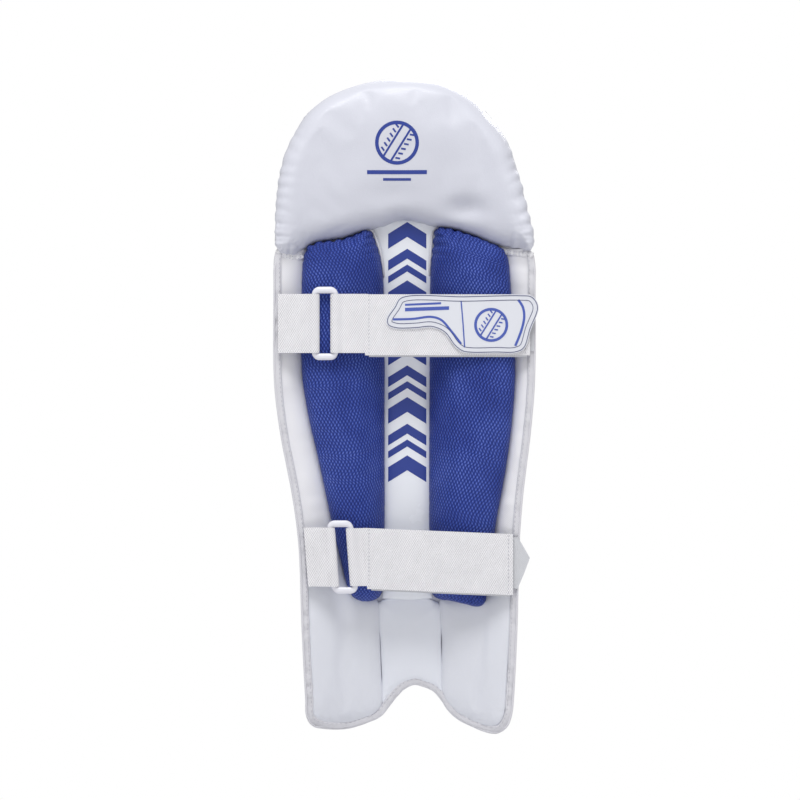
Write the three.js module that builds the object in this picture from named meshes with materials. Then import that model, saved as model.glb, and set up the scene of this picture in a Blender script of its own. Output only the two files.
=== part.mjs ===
// Wicket-keeping cricket leg pad, lying open with its straps towards -Y.
// Millimetres. +Z runs up the leg, +Y is the front face that meets the ball,
// +X is the side where the free ends of the straps close.
import * as THREE from 'three';

// ---- Driving dimensions ----
const TOTAL_HEIGHT = 655;
const KNEE_LINE = 487; // height of the flex line between shin section and top hat
const HOLLOW = 38; // how far the wings come back past the middle of the shin
const WALL = 1.6; // cover material with its stitched lining
const GAP = 2.6; // space between a foam core and its cover
const SEAT = 1.6; // space between a padded piece and what it is sewn to
const BOARD = 4;
const CORE_INSET = 0.975; // how far a foam core stops short of its cover's sides
const LINING = 1.2;
const LINING_SEAT = 2.2; // space behind the lining on the curve of the wings
const BINDING_WIDTH = 6;
const BINDING_DEPTH = 3.4;

const ROLLS = 7; // vertical rolls on the front of the shin
const ROLL_RISE = 18;
const KNEE_ROLL_RISE = 25;
const TOP_FRONT_RISE = 17;
const BOLSTER_RISE = 31;
const INSTEP_RISE = 10;
const CUSHION_RISE = 30;
const CHANNEL_DEPTH = 6;

const STRAP_THICKNESS = 2.4;
const WEBBING = 1.4; // one layer of strap webbing
const BAR_RADIUS = 2.5; // round side bars of the plastic ring
const RING_SPAN = 21; // from one side bar's middle to the other's
const LOOP_BORE = 3.1; // inside radius of the webbing fold round a bar

// ---- Outline of the pad, as [height, x] ----
const leftEdge = smooth([
  [0, -97], [30, -99], [110, -103], [190, -106], [243, -113], [300, -124], [355, -130.5],
  [440, -131], [507, -130], [555, -127], [587, -118], [603, -109], [619, -98], [635, -79],
  [645, -58], [651, -39], [TOTAL_HEIGHT, -16],
]);
const rightEdge = smooth([
  [0, 104], [30, 108], [110, 112], [190, 114], [243, 118], [300, 125], [355, 129.5],
  [440, 130], [487, 129], [523, 123], [555, 116], [587, 106], [603, 96], [619, 81],
  [635, 66], [645, 48], [651, 33], [TOTAL_HEIGHT, 10],
]);
// Lower edge, two rounded lobes with an arch over the foot between them, as [x, height]
const footEdge = smooth([
  [-97, 14], [-88, 7], [-68, 3.5], [-56, 4], [-39, 9], [-26, 15], [-15, 29], [-4, 41], [9, 47],
  [22, 44], [36, 36], [44, 23], [54, 13], [68, 6], [83, 1], [96, 2.5], [104, 13],
]);
// Lower edge of the top hat cushion, arched over the two bolsters, as [x, height]
const cushionEdge = smooth([
  [-130, 489], [-105, 492], [-83, 505], [-45, 511], [-5, 521], [17, 517], [35, 514],
  [65, 507], [100, 494], [130, 488],
]);
const boneEdge = {
  left: { outer: smooth([[131, -56], [212, -74], [269, -86], [327, -99], [365, -104],
    [451, -104], [490, -101], [510, -96]]),
  inner: smooth([[131, -23], [205, -20.5], [460, -20.5], [490, -25], [510, -32]]) },
  right: { inner: smooth([[131, 26], [205, 25], [460, 25.5], [490, 27], [510, 33]]),
    outer: smooth([[126, 80], [212, 92], [269, 102], [327, 109], [365, 111], [444, 107],
      [481, 104], [510, 98]]) },
};
const SEAM_LEFT = profile([[0, -24], [135, -28]]);
const SEAM_RIGHT = profile([[0, 38], [135, 35]]);
const INSTEP_SHOULDER = 213; // where the instep covers end beside the bolsters

// ---- Small maths helpers ----
function mix(a, b, share) {
  return a + (b - a) * share;
}

// Straight lines through [position, value] pairs.
function profile(points) {
  return (at) => {
    let next = 1;
    while (next < points.length - 1 && at > points[next][0]) {
      next += 1;
    }
    const [from, low] = points[next - 1];
    const [to, high] = points[next];
    return mix(low, high, THREE.MathUtils.clamp((at - from) / (to - from), 0, 1));
  };
}

// A smooth curve through [position, value] pairs, held level past its ends.
function smooth(points) {
  const slope = (i) => {
    const [from, low] = points[Math.max(i - 1, 0)];
    const [to, high] = points[Math.min(i + 1, points.length - 1)];
    return (high - low) / (to - from);
  };
  return (at) => {
    let next = 1;
    while (next < points.length - 1 && at > points[next][0]) {
      next += 1;
    }
    const [from, low] = points[next - 1];
    const [to, high] = points[next];
    const t = THREE.MathUtils.clamp((at - from) / (to - from), 0, 1);
    const run = to - from;
    const lowPart = low * (1 + 2 * t) * (1 - t) ** 2 + high * t * t * (3 - 2 * t);
    const slopePart = slope(next - 1) * run * t * (1 - t) ** 2
      - slope(next) * run * t * t * (1 - t);
    return lowPart + slopePart;
  };
}

function spread(from, to, steps) {
  return Array.from({ length: steps + 1 }, (_, i) => mix(from, to, i / steps));
}

// ---- The curved sheet that every layer follows ----
const WIDEST = 505; // above this height the dome is cut from a sheet of constant curve
const hollow = profile([[0, HOLLOW], [KNEE_LINE, HOLLOW], [TOTAL_HEIGHT, 12]]);
const middle = (z) => (leftEdge(z) + rightEdge(z)) / 2;
const halfWidth = (z) => (rightEdge(z) - leftEdge(z)) / 2;

// Flat across the shin and swept back at the wings, in straight facets one half roll wide.
function sheet(x, z) {
  const reach = Math.min(Math.abs(x - middle(z)) / halfWidth(Math.min(z, WIDEST)), 1) * ROLLS;
  const fold = Math.min(Math.floor(reach), ROLLS - 1);
  const cubic = (n) => (n / ROLLS) ** 3;
  return -hollow(z) * mix(cubic(fold), cubic(fold + 1), reach - fold);
}

// A bent panel: columns run across from -1 to 1, rows run up from 0 to 1.
function slab({ columns, rows, left, right, bottom, top, back, front }) {
  const across = columns.length - 1;
  const up = rows.length - 1;
  const geometry = new THREE.BoxGeometry(2, 2, 2, across, 1, up);
  const place = geometry.attributes.position;
  for (let i = 0; i < place.count; i += 1) {
    const s = columns[Math.round(((place.getX(i) + 1) / 2) * across)];
    const v = rows[Math.round(((place.getZ(i) + 1) / 2) * up)];
    const z = mix(bottom(s), top(s), v);
    const x = mix(left(z), right(z), (s + 1) / 2);
    const y = place.getY(i) < 0 ? back(x, z, s, v) : front(x, z, s, v);
    place.setXYZ(i, x, y, z);
  }
  matchDiagonals(geometry);
  geometry.computeVertexNormals();
  return geometry;
}

// Cuts the facets of a slab's back along the same diagonals as its front, so a thin wall keeps its thickness.
function matchDiagonals(geometry) {
  const corners = geometry.getIndex();
  const back = geometry.groups[3];
  for (let i = back.start; i < back.start + back.count; i += 6) {
    corners.setX(i + 2, corners.getX(i + 4));
    corners.setX(i + 3, corners.getX(i));
  }
}

// ---- Materials ----
const paint = (color, roughness) => new THREE.MeshStandardMaterial({ color, roughness, metalness: 0 });
const whitePU = paint('#dfe3ec', 0.4);
const channelPU = paint('#dde2ee', 0.25);
const blueMesh = paint('#3c4c95', 0.8);
const nylon = paint('#dcdce2', 0.7);
const bindingTape = paint('#e2e1e7', 0.6);
const webbingTape = paint('#dedde3', 0.8);
const ringPlastic = paint('#e4e4ec', 0.35);
const foam = paint('#e9e4d2', 0.95);
const board = paint('#cfc8b4', 0.9);
const cane = paint('#d8c190', 0.8);
const hookTape = paint('#c9cbd0', 0.9);

const pad = new THREE.Group();
function add(name, geometry, material, parent = pad) {
  const mesh = new THREE.Mesh(geometry, material);
  mesh.name = name;
  parent.add(mesh);
  return mesh;
}

// ---- Padded pieces: a cover swollen over a foam core ----
const ACROSS = [-1, -0.84, -0.5, 0, 0.5, 0.84, 1];
const UPWARD = [0, 0.04, 0.13, 0.38, 0.62, 0.87, 0.96, 1];
const round = (t) => Math.sqrt(Math.max(1 - Math.abs(t) ** 2.4, 0));
const endFall = (v) => round(1 - Math.min(v, 1 - v, 0.13) / 0.13);

// out is -1 for a piece that swells towards the leg and 1 for one on the front face.
function padded(name, material, { columns = ACROSS, rows = UPWARD, base, rise, out, gap = GAP, inset = CORE_INSET, ...edges }) {
  const swell = (x, z, s, v) => rise(z) * round(s) * endFall(v);
  const outer = (x, z, s, v) => base(x, z) + out * (SEAT + WALL + swell(x, z, s, v));
  const inner = (x, z, s, v) => base(x, z) + out * (SEAT + swell(x, z, s, v));
  const coreTop = (x, z, s, v) => inner(x, z, s, v) - out * gap;
  const coreSeat = (x, z) => base(x, z) + out * SEAT;
  const faces = (a, b) => (out < 0 ? { back: a, front: b } : { back: b, front: a });
  const cover = slab({ columns, rows, ...edges, ...faces(outer, inner) });
  add(name, cover, material);
  const filling = slab({
    columns: columns.slice(1, -1).map((s) => s * inset),
    rows: rows.slice(1, -1),
    ...edges,
    ...faces(coreTop, coreSeat),
  });
  add(name.replace('cover', 'core'), filling, foam);
}

// ---- Shin section ----
const COVER_SEAT = BOARD + SEAT + WALL;
const ROLL_SECTION = [[-1, 0], [-0.78, 0.62], [-0.3, 0.97], [0.3, 0.97], [0.78, 0.62], [1, 0]];
const KNEE_ROLL_BOTTOM = 440;
const KNEE_ROLL_TOP = 480;
const COVER_ROWS = [0, 0.03, 0.1, 0.28, 0.46, 0.64, 0.82, 0.96, 1];

function buildShinBoard() {
  add('shin_board', slab({
    columns: spread(-ROLLS + 0.3, ROLLS - 0.3, 2).concat(spread(1 - ROLLS, ROLLS - 1, 2 * (ROLLS - 1)))
      .filter((n, i, all) => all.indexOf(n) === i).sort((a, b) => a - b).map((n) => n / ROLLS),
    rows: COVER_ROWS,
    left: leftEdge,
    right: rightEdge,
    bottom: (s) => footEdge(mix(leftEdge(10), rightEdge(10), (s + 1) / 2)) + 3,
    top: () => KNEE_LINE - 6,
    back: (x, z) => sheet(x, z),
    front: (x, z) => sheet(x, z) + BOARD,
  }), board);
}

function buildShinRolls() {
  const section = profile(ROLL_SECTION);
  const height = (s) => section(s * ROLLS - 2 * Math.round((s * ROLLS) / 2));
  const ends = (v) => mix(0.25, 1, endFall(v));
  const columns = [-1];
  for (let roll = 0; roll < ROLLS; roll += 1) {
    for (const [t] of ROLL_SECTION.slice(1)) {
      columns.push((2 * roll + 1 - ROLLS + t) / ROLLS);
    }
  }
  const edges = {
    left: leftEdge,
    right: rightEdge,
    bottom: (s) => footEdge(mix(leftEdge(10), rightEdge(10), (s + 1) / 2)),
    top: () => KNEE_ROLL_BOTTOM - 4,
  };
  const outer = (x, z, s, v) => sheet(x, z) + COVER_SEAT + ROLL_RISE * height(s) * ends(v);
  const inner = (x, z, s, v) => outer(x, z, s, v) - WALL;
  add('front_cover', slab({ columns, rows: COVER_ROWS, ...edges, back: inner, front: outer }), whitePU);
  for (let roll = 0; roll < ROLLS; roll += 1) {
    const first = 1 + roll * (ROLL_SECTION.length - 1);
    add(`shin_roll_core_${roll + 1}`, slab({
      columns: columns.slice(first, first + ROLL_SECTION.length - 2),
      rows: COVER_ROWS.slice(1, -1),
      ...edges,
      back: (x, z) => sheet(x, z) + BOARD + SEAT,
      front: (x, z, s, v) => inner(x, z, s, v) - GAP,
    }), cane);
  }
}

const ROLL_ROWS = [0, 0.11, 0.35, 0.65, 0.89, 1];
function buildKneeRoll(number, bottom, top) {
  const section = profile([[0, 0], [0.11, 0.62], [0.35, 0.97], [0.65, 0.97], [0.89, 0.62], [1, 0]]);
  const columns = [-1, -0.9, -5 / 7, -3 / 7, -1 / 7, 1 / 7, 3 / 7, 5 / 7, 0.9, 1];
  const swell = (s, v) => KNEE_ROLL_RISE * section(v) * Math.sqrt(Math.max(1 - s ** 6, 0));
  const edges = { left: leftEdge, right: rightEdge, bottom: () => bottom, top: () => top };
  const seat = (x, z) => sheet(x, z) + BOARD + SEAT + 0.8;
  add(`knee_roll_cover_${number}`, slab({
    columns,
    rows: ROLL_ROWS,
    ...edges,
    back: (x, z, s, v) => seat(x, z) + swell(s, v),
    front: (x, z, s, v) => seat(x, z) + WALL + swell(s, v),
  }), whitePU);
  add(`knee_roll_core_${number}`, slab({
    columns: columns.slice(1, -1),
    rows: ROLL_ROWS.slice(1, -1),
    ...edges,
    back: seat,
    front: (x, z, s, v) => seat(x, z) + swell(s, v) - GAP,
  }), foam);
}

function buildBolster(side) {
  const left = side === 'left' ? boneEdge.left.outer : boneEdge.right.inner;
  const right = side === 'left' ? boneEdge.left.inner : boneEdge.right.outer;
  const topEdge = side === 'left' ? [[-1, 485], [0.2, 497], [1, 503]] : [[-1, 503], [-0.4, 505], [1, 484]];
  const width = (z) => right(z) - left(z);
  padded(`bolster_${side}_cover`, blueMesh, {
    left,
    right,
    bottom: side === 'left' ? () => 131 : profile([[-1, 135], [1, 126]]),
    top: profile(topEdge),
    base: sheet,
    rise: (z) => BOLSTER_RISE * Math.sqrt(Math.min(width(z) / 84, 1)),
    out: -1,
  });
}

function buildChannel() {
  add('channel_panel', slab({
    columns: [-1, -0.6, 0, 0.6, 1],
    rows: spread(0, 1, 6),
    left: () => -18.5,
    right: () => 23.2,
    bottom: () => 134,
    top: profile([[-1, 506], [0, 512], [1, 508]]),
    back: (x, z, s) => sheet(x, z) - SEAT - mix(3, CHANNEL_DEPTH, 1 - s * s),
    front: (x, z) => sheet(x, z) - SEAT,
  }), channelPU);
}

const bindingShare = (z) => 1 - BINDING_WIDTH / halfWidth(z);
const atShare = (s) => (z) => middle(z) + s * halfWidth(z);

function buildSideLinings() {
  const inset = 0.8;
  for (const side of ['left', 'right']) {
    const leftwards = side === 'left';
    const rim = (z) => middle(z) + (leftwards ? -1 : 1) * (bindingShare(z) * halfWidth(z) - inset);
    const bolster = leftwards ? (z) => boneEdge.left.outer(z) - 1.2 : (z) => boneEdge.right.outer(z) + 1.2;
    add(`side_lining_${side}`, slab({
      columns: [-1, -0.33, 0.33, 1],
      rows: spread(0, 1, 6),
      left: leftwards ? rim : bolster,
      right: leftwards ? bolster : rim,
      bottom: () => INSTEP_SHOULDER + 3,
      top: () => KNEE_LINE - 8,
      back: (x, z) => sheet(x, z) - LINING_SEAT - LINING,
      front: (x, z) => sheet(x, z) - LINING_SEAT,
    }), nylon);
  }
}

// Tape folded over the raw edges of all layers.
function buildBindings() {
  const tape = (z) => -hollow(z) - 1;
  for (const [side, sign] of [['left', -1], ['right', 1]]) {
    const inside = (z) => middle(z) + sign * bindingShare(z) * halfWidth(z);
    const outside = atShare(sign);
    add(`edge_binding_${side}`, slab({
      columns: [-1, 1],
      rows: spread(0, 1, 12),
      left: sign < 0 ? outside : inside,
      right: sign < 0 ? inside : outside,
      bottom: () => 16,
      top: () => KNEE_LINE - 5,
      back: (x, z) => tape(z) - BINDING_DEPTH,
      front: (x, z) => tape(z),
    }), bindingTape);
  }
  const columns = spread(-0.93, 0.93, 18);
  const foot = (s) => footEdge(mix(leftEdge(10), rightEdge(10), (s + 1) / 2));
  add('bottom_binding', slab({
    columns,
    rows: [0, 1],
    left: leftEdge,
    right: rightEdge,
    bottom: foot,
    top: (s) => foot(s) + BINDING_WIDTH,
    back: (x, z) => sheet(x, z) - SEAT - BINDING_DEPTH,
    front: (x, z) => sheet(x, z) - SEAT,
  }), bindingTape);
}

function buildInstep() {
  const floor = (from, to) => (s) => {
    const x = mix(from, to, (s + 1) / 2);
    return footEdge(x) + BINDING_WIDTH + 4;
  };
  const rimLeft = (z) => middle(z) - bindingShare(z) * halfWidth(z) + 1;
  const rimRight = (z) => middle(z) + bindingShare(z) * halfWidth(z) - 1;
  const besideLeft = profile([[104, -28], [120, -59], [INSTEP_SHOULDER, -78]]);
  const besideRight = profile([[84, 37], [118, 83], [INSTEP_SHOULDER, 95]]);
  const common = { base: sheet, rise: () => INSTEP_RISE, out: -1, gap: 4, inset: 0.9 };
  padded('instep_left_cover', whitePU, {
    ...common,
    left: rimLeft,
    right: (z) => Math.min(SEAM_LEFT(z), besideLeft(z)) - 0.6,
    bottom: floor(-90, -25),
    top: () => INSTEP_SHOULDER,
    rows: [0, 0.06, 0.16, 0.32, 0.44, 0.5, 0.54, 0.8, 0.94, 1],
  });
  padded('instep_centre_cover', whitePU, {
    ...common,
    left: (z) => SEAM_LEFT(z) + 0.6,
    right: (z) => SEAM_RIGHT(z) - 0.6,
    bottom: floor(-24, 38),
    top: () => 127,
  });
  padded('instep_right_cover', whitePU, {
    ...common,
    left: (z) => Math.max(SEAM_RIGHT(z), besideRight(z)) + 0.6,
    right: rimRight,
    bottom: floor(39, 98),
    top: () => INSTEP_SHOULDER,
    rows: [0, 0.06, 0.16, 0.28, 0.34, 0.4, 0.46, 0.53, 0.8, 0.94, 1],
  });
}

// ---- Top hat, the section above the flex line ----
const HAT_GAP = 7; // room on the front for the top hat to tip forwards
const domeRows = (steps) => spread(0, 1, steps).map((t) => Math.sin((t * Math.PI) / 2));

function buildTopHat() {
  const hatColumns = spread(1 - ROLLS, ROLLS - 1, 6).map((n) => n / ROLLS);
  add('top_hat_board', slab({
    columns: hatColumns,
    rows: domeRows(7),
    left: leftEdge,
    right: rightEdge,
    bottom: profile([[-1, 494], [-0.75, 500], [-0.3, 520], [0.3, 520], [0.75, 500], [1, 494]]),
    top: () => TOTAL_HEIGHT - 8,
    back: (x, z) => sheet(x, z),
    front: (x, z) => sheet(x, z) + BOARD,
  }), board);
  padded('top_hat_cushion_cover', whitePU, {
    columns: [-1, -6 / 7, -4 / 7, -2 / 7, 0, 2 / 7, 4 / 7, 6 / 7, 1],
    rows: [0, 0.05, 0.2, 0.45, 0.66, 0.82, 0.93, 0.98, 1],
    left: (z) => leftEdge(z) + 1,
    right: (z) => rightEdge(z) - 1,
    bottom: (s) => cushionEdge(130 * s),
    top: () => TOTAL_HEIGHT - 1,
    base: sheet,
    rise: () => CUSHION_RISE,
    out: -1,
  });
  buildKneeRoll(2, KNEE_LINE + HAT_GAP, 531);
  buildKneeRoll(3, 533, 571);
  padded('top_hat_front_cover', whitePU, {
    columns: [-1, -6 / 7, -4 / 7, -2 / 7, 0, 2 / 7, 4 / 7, 6 / 7, 1],
    rows: [0, 0.06, 0.3, 0.6, 0.82, 0.94, 1],
    left: leftEdge,
    right: rightEdge,
    bottom: () => 574,
    top: () => TOTAL_HEIGHT,
    base: (x, z) => sheet(x, z) + BOARD,
    rise: () => TOP_FRONT_RISE,
    out: 1,
  });
  buildTopHatPiping();
}

function buildTopHatPiping() {
  const inset = 3;
  const points = [];
  const climb = domeRows(9).map((t) => mix(KNEE_LINE + 8, TOTAL_HEIGHT - inset, t));
  const along = (x, z) => points.push(new THREE.Vector3(x, sheet(x, z) + 3.2, z));
  for (const z of climb) {
    along(leftEdge(z) + inset, z);
  }
  for (const z of climb.slice().reverse()) {
    along(rightEdge(z) - inset, z);
  }
  const cord = new THREE.Shape();
  cord.absarc(0, 0, 1.3, 0, 2 * Math.PI);
  const path = new THREE.CatmullRomCurve3(points);
  add('top_hat_piping', new THREE.ExtrudeGeometry(cord, {
    steps: 44, curveSegments: 3, extrudePath: path, bevelEnabled: false,
  }), bindingTape);
}

// ---- Straps ----
// A rounded rectangular ring with round side bars and deeper end bars, in the XZ plane.
function ringGeometry(span, height, endDepth) {
  const sides = 8;
  const corner = 4;
  const turnsPerCorner = 4;
  const path = [];
  for (const [signX, signZ, start] of [[1, 1, 0], [-1, 1, 90], [-1, -1, 180], [1, -1, 270]]) {
    for (let step = 0; step <= turnsPerCorner; step += 1) {
      const angle = THREE.MathUtils.degToRad(start + (90 * step) / turnsPerCorner);
      const out = new THREE.Vector2(Math.cos(angle), Math.sin(angle));
      const centre = new THREE.Vector2(signX * (span / 2 - corner), signZ * (height / 2 - corner));
      path.push({ middle: centre.addScaledVector(out, corner), out });
    }
  }
  const geometry = new THREE.TorusGeometry(1, 0.4, sides, path.length);
  const place = geometry.attributes.position;
  const share = (angle, count) => (Math.round((angle / (2 * Math.PI)) * count) + count) % count;
  for (let i = 0; i < place.count; i += 1) {
    const distance = Math.hypot(place.getX(i), place.getY(i)) - 1;
    const station = path[share(Math.atan2(place.getY(i), place.getX(i)), path.length)];
    const turn = (share(Math.atan2(place.getZ(i), distance), sides) / sides) * 2 * Math.PI;
    const thick = mix(BAR_RADIUS, endDepth, Math.abs(station.out.y)) * Math.cos(turn);
    place.setXYZ(
      i,
      station.middle.x + station.out.x * thick,
      -BAR_RADIUS * Math.sin(turn),
      station.middle.y + station.out.y * thick,
    );
  }
  return geometry;
}

// Webbing folded round a bar at the origin and lying back on itself up to the tail's end.
function foldedWebbing(tailX, tailY, height) {
  const tail = new THREE.Vector2(tailX, tailY);
  const heading = tail.angle();
  const outside = LOOP_BORE + WEBBING;
  const join = Math.asin(WEBBING / outside);
  const across = new THREE.Vector2(-Math.sin(heading), Math.cos(heading)).multiplyScalar(WEBBING);
  const shape = new THREE.Shape();
  shape.moveTo(tail.x - across.x, tail.y - across.y);
  shape.lineTo(tail.x + across.x, tail.y + across.y);
  shape.absarc(0, 0, outside, heading + join, heading - join + 2 * Math.PI, false);
  const bore = new THREE.Path();
  bore.absarc(0, 0, LOOP_BORE, 0, 2 * Math.PI, true);
  shape.holes.push(bore);
  const geometry = new THREE.ExtrudeGeometry(shape, {
    depth: height, curveSegments: 9, bevelEnabled: false,
  });
  geometry.translate(0, 0, -height / 2);
  return geometry;
}

// A flat plate drawn in X and Z and given its thickness towards -Y.
function plate(corners, depth) {
  const shape = new THREE.Shape(corners.map(([x, z]) => new THREE.Vector2(x, z)));
  const geometry = new THREE.ExtrudeGeometry(shape, { depth, bevelEnabled: false });
  geometry.rotateX(Math.PI / 2);
  return geometry;
}

// Leans the bars of a ring, fading out along the strap, which runs down towards its free end.
function skew(geometry, { lean, drop, heightAt, leanTo, dropFrom }) {
  const place = geometry.attributes.position;
  for (let i = 0; i < place.count; i += 1) {
    const x = place.getX(i);
    const z = place.getZ(i);
    const fade = THREE.MathUtils.clamp((leanTo - x) / (leanTo - dropFrom), 0, 1);
    place.setX(i, x - lean * fade * (z - heightAt));
    place.setZ(i, z - drop * Math.max(x - dropFrom, 0));
  }
  return geometry;
}

function buildStrap(level, spec) {
  const { y, z, leftBar, anchorEnd, seam, end, skewing } = spec;
  const rightBar = leftBar + RING_SPAN;
  const tapeHeight = 59;
  const bend = (geometry) => (skewing ? skew(geometry, skewing) : geometry);
  const anchor = foldedWebbing(anchorEnd - leftBar, spec.anchorDip, tapeHeight);
  add(`${level}_anchor_webbing`, bend(anchor.translate(leftBar, y, z)), webbingTape);
  const ring = ringGeometry(RING_SPAN, 66.6, 3.1);
  add(`${level}_ring`, bend(ring.translate((leftBar + rightBar) / 2, y, z)), ringPlastic);
  const fold = foldedWebbing(seam - rightBar, 0, tapeHeight);
  add(`${level}_fold_webbing`, bend(fold.translate(rightBar, y, z)), webbingTape);
  const length = end - seam - 0.3;
  const strap = new THREE.BoxGeometry(length, STRAP_THICKNESS, 63, 8, 1, 2);
  const middleX = seam + 0.3 + length / 2;
  add(`${level}_strap_webbing`, bend(strap.translate(middleX, y, z - 1.2)), webbingTape);
}

const UPPER = { y: -47.5, z: 411.5, leftBar: -90.5, anchorEnd: -125, anchorDip: 0.8, seam: -37, end: 125 };
const LOWER = {
  y: -46.5,
  z: 178,
  leftBar: -73,
  anchorEnd: -100,
  anchorDip: 0,
  seam: -37,
  end: 108,
  skewing: { lean: 0.075, drop: 0.043, heightAt: 178, leanTo: 60, dropFrom: -36 },
};

// Loop tape sewn over the wing edge where a strap closes, dipping inwards by the given depth.
function buildLandingPatch(name, { from, to, reach, dip }) {
  const tape = (z) => -hollow(z) - 1.4 - BINDING_DEPTH;
  const face = (x, z, s) => tape(z) + dip * (1 - THREE.MathUtils.smoothstep(s, -1, 0.2));
  add(name, slab({
    columns: [-1, -0.6, -0.2, 0.2, 1],
    rows: [0, 1],
    left: atShare(reach),
    right: atShare(0.995),
    bottom: () => from,
    top: () => to,
    back: (x, z, s) => face(x, z, s) - 1,
    front: face,
  }), hookTape);
}

function buildStraps() {
  buildStrap('upper', UPPER);
  buildStrap('lower', LOWER);
  const inside = STRAP_THICKNESS / 2 + 0.35;
  const hook = new THREE.BoxGeometry(22, 1, 52);
  add('upper_hook_patch', hook.translate(112, UPPER.y + inside + 0.5, 410), hookTape);
  const tab = plate([
    [-4, 438], [-18, 419], [-18, 411], [-8, 405.5], [26, 407], [38, 402], [50, 388], [58, 383],
    [66, 381.5], [110, 382], [119, 386.5], [133, 426], [131, 434], [126, 439.5], [116, 440.5],
  ], 2);
  add('upper_tab_plate', tab.translate(0, UPPER.y - inside, 0), whitePU);
  const pullTab = plate([[88, 196], [113, 198], [125, 177], [112, 146], [88, 150]], 1);
  add('lower_pull_tab', pullTab.translate(0, LOWER.y + inside + 1, 0), hookTape);
  buildLandingPatch('upper_loop_patch', { from: 384, to: 436, reach: 0.88, dip: 8 });
  buildLandingPatch('lower_loop_patch', { from: 148, to: 194, reach: 0.93, dip: 0 });
}

buildShinBoard();
buildShinRolls();
buildKneeRoll(1, KNEE_ROLL_BOTTOM, KNEE_ROLL_TOP);
buildBolster('left');
buildBolster('right');
buildChannel();
buildSideLinings();
buildBindings();
buildInstep();
buildTopHat();
buildStraps();

export default pad;
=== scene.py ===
"""Wicket-keeping cricket leg pad: the looks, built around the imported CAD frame.

Shapes are worked out in millimetres, in the part's own frame (+X to the strap ends, +Y out of the
front face, +Z up the leg), and turned into metres when a mesh is made.
"""
import math

import bmesh
import bpy
import numpy as np
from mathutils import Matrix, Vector
from mathutils.bvhtree import BVHTree


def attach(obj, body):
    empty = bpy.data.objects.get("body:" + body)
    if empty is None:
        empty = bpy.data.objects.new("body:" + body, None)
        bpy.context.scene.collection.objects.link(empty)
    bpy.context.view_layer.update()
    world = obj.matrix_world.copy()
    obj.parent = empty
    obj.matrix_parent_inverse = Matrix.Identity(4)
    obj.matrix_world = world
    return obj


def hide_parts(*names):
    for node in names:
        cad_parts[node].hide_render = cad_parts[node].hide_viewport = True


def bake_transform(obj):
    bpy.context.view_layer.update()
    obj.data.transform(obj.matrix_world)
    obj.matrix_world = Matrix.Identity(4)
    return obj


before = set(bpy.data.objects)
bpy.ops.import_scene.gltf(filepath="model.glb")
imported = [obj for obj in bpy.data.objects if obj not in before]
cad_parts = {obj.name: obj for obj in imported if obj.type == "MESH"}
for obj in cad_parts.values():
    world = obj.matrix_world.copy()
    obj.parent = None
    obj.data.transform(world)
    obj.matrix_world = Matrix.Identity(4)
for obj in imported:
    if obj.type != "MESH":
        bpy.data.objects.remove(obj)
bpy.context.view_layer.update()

MM = 0.001

# ---- Driving dimensions, in millimetres ----
TOP = 655
KNEE = 487            # height of the flex line
HOLLOW = 38           # how far the wings sweep back below the flex line
TOP_HOLLOW = 12       # and at the very top
BOARD = 4             # thickness of the shin board
WIDEST = 505          # above this height the sheet stops narrowing with the outline
ROLLS = 7             # vertical rolls on the front
STRAP_UP = dict(y=-47.5, z=411.5, bar=-90.5, anchor=-127.0, seam=-37.0, end=125.0, lean=0.0, drop=0.0)
STRAP_LOW = dict(y=-46.5, z=178.0, bar=-73.0, anchor=-99.0, seam=-37.0, end=108.0, lean=0.075, drop=0.043)
RING_SPAN = 21        # between the ring's two side bars
RING_HEIGHT = 66.6    # between its end bars
STRAP_TURN = -36      # from this x on, a strap runs down towards its free end
ROLL_TOP = 437        # where the vertical rolls end
HAT_FRONT_LOW = 574   # lower seam of the top hat's front
FRONT_INSET = 4.5     # how far the front rolls stay inside the outline
STRAP_WIDTH = 62
WEB_ROWS = 26         # points across a strap
CROWN_POWER = 2.2     # how squarely a cushion rolls over at its seam
SIM_FRAMES = 14
PRINT_LIFT = 0.22     # how far a print stands proud of what it lies on
PRINT_THICK = 0.15


# ---- Curves ----
def smooth(points):
    """A smooth curve through (position, value) pairs, level past its ends."""
    at, value = np.array(points, float).T
    ahead = np.r_[np.arange(1, len(at)), len(at) - 1]
    behind = np.r_[0, np.arange(len(at) - 1)]
    slope = (value[ahead] - value[behind]) / (at[ahead] - at[behind])

    def curve(t):
        t = np.asarray(t, float)
        i = np.clip(np.searchsorted(at, t, side="right") - 1, 0, len(at) - 2)
        run = at[i + 1] - at[i]
        s = np.clip((t - at[i]) / run, 0, 1)
        ends = value[i] * (1 + 2 * s) * (1 - s) ** 2 + value[i + 1] * s * s * (3 - 2 * s)
        return ends + run * (slope[i] * s * (1 - s) ** 2 - slope[i + 1] * s * s * (1 - s))

    return curve


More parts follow.
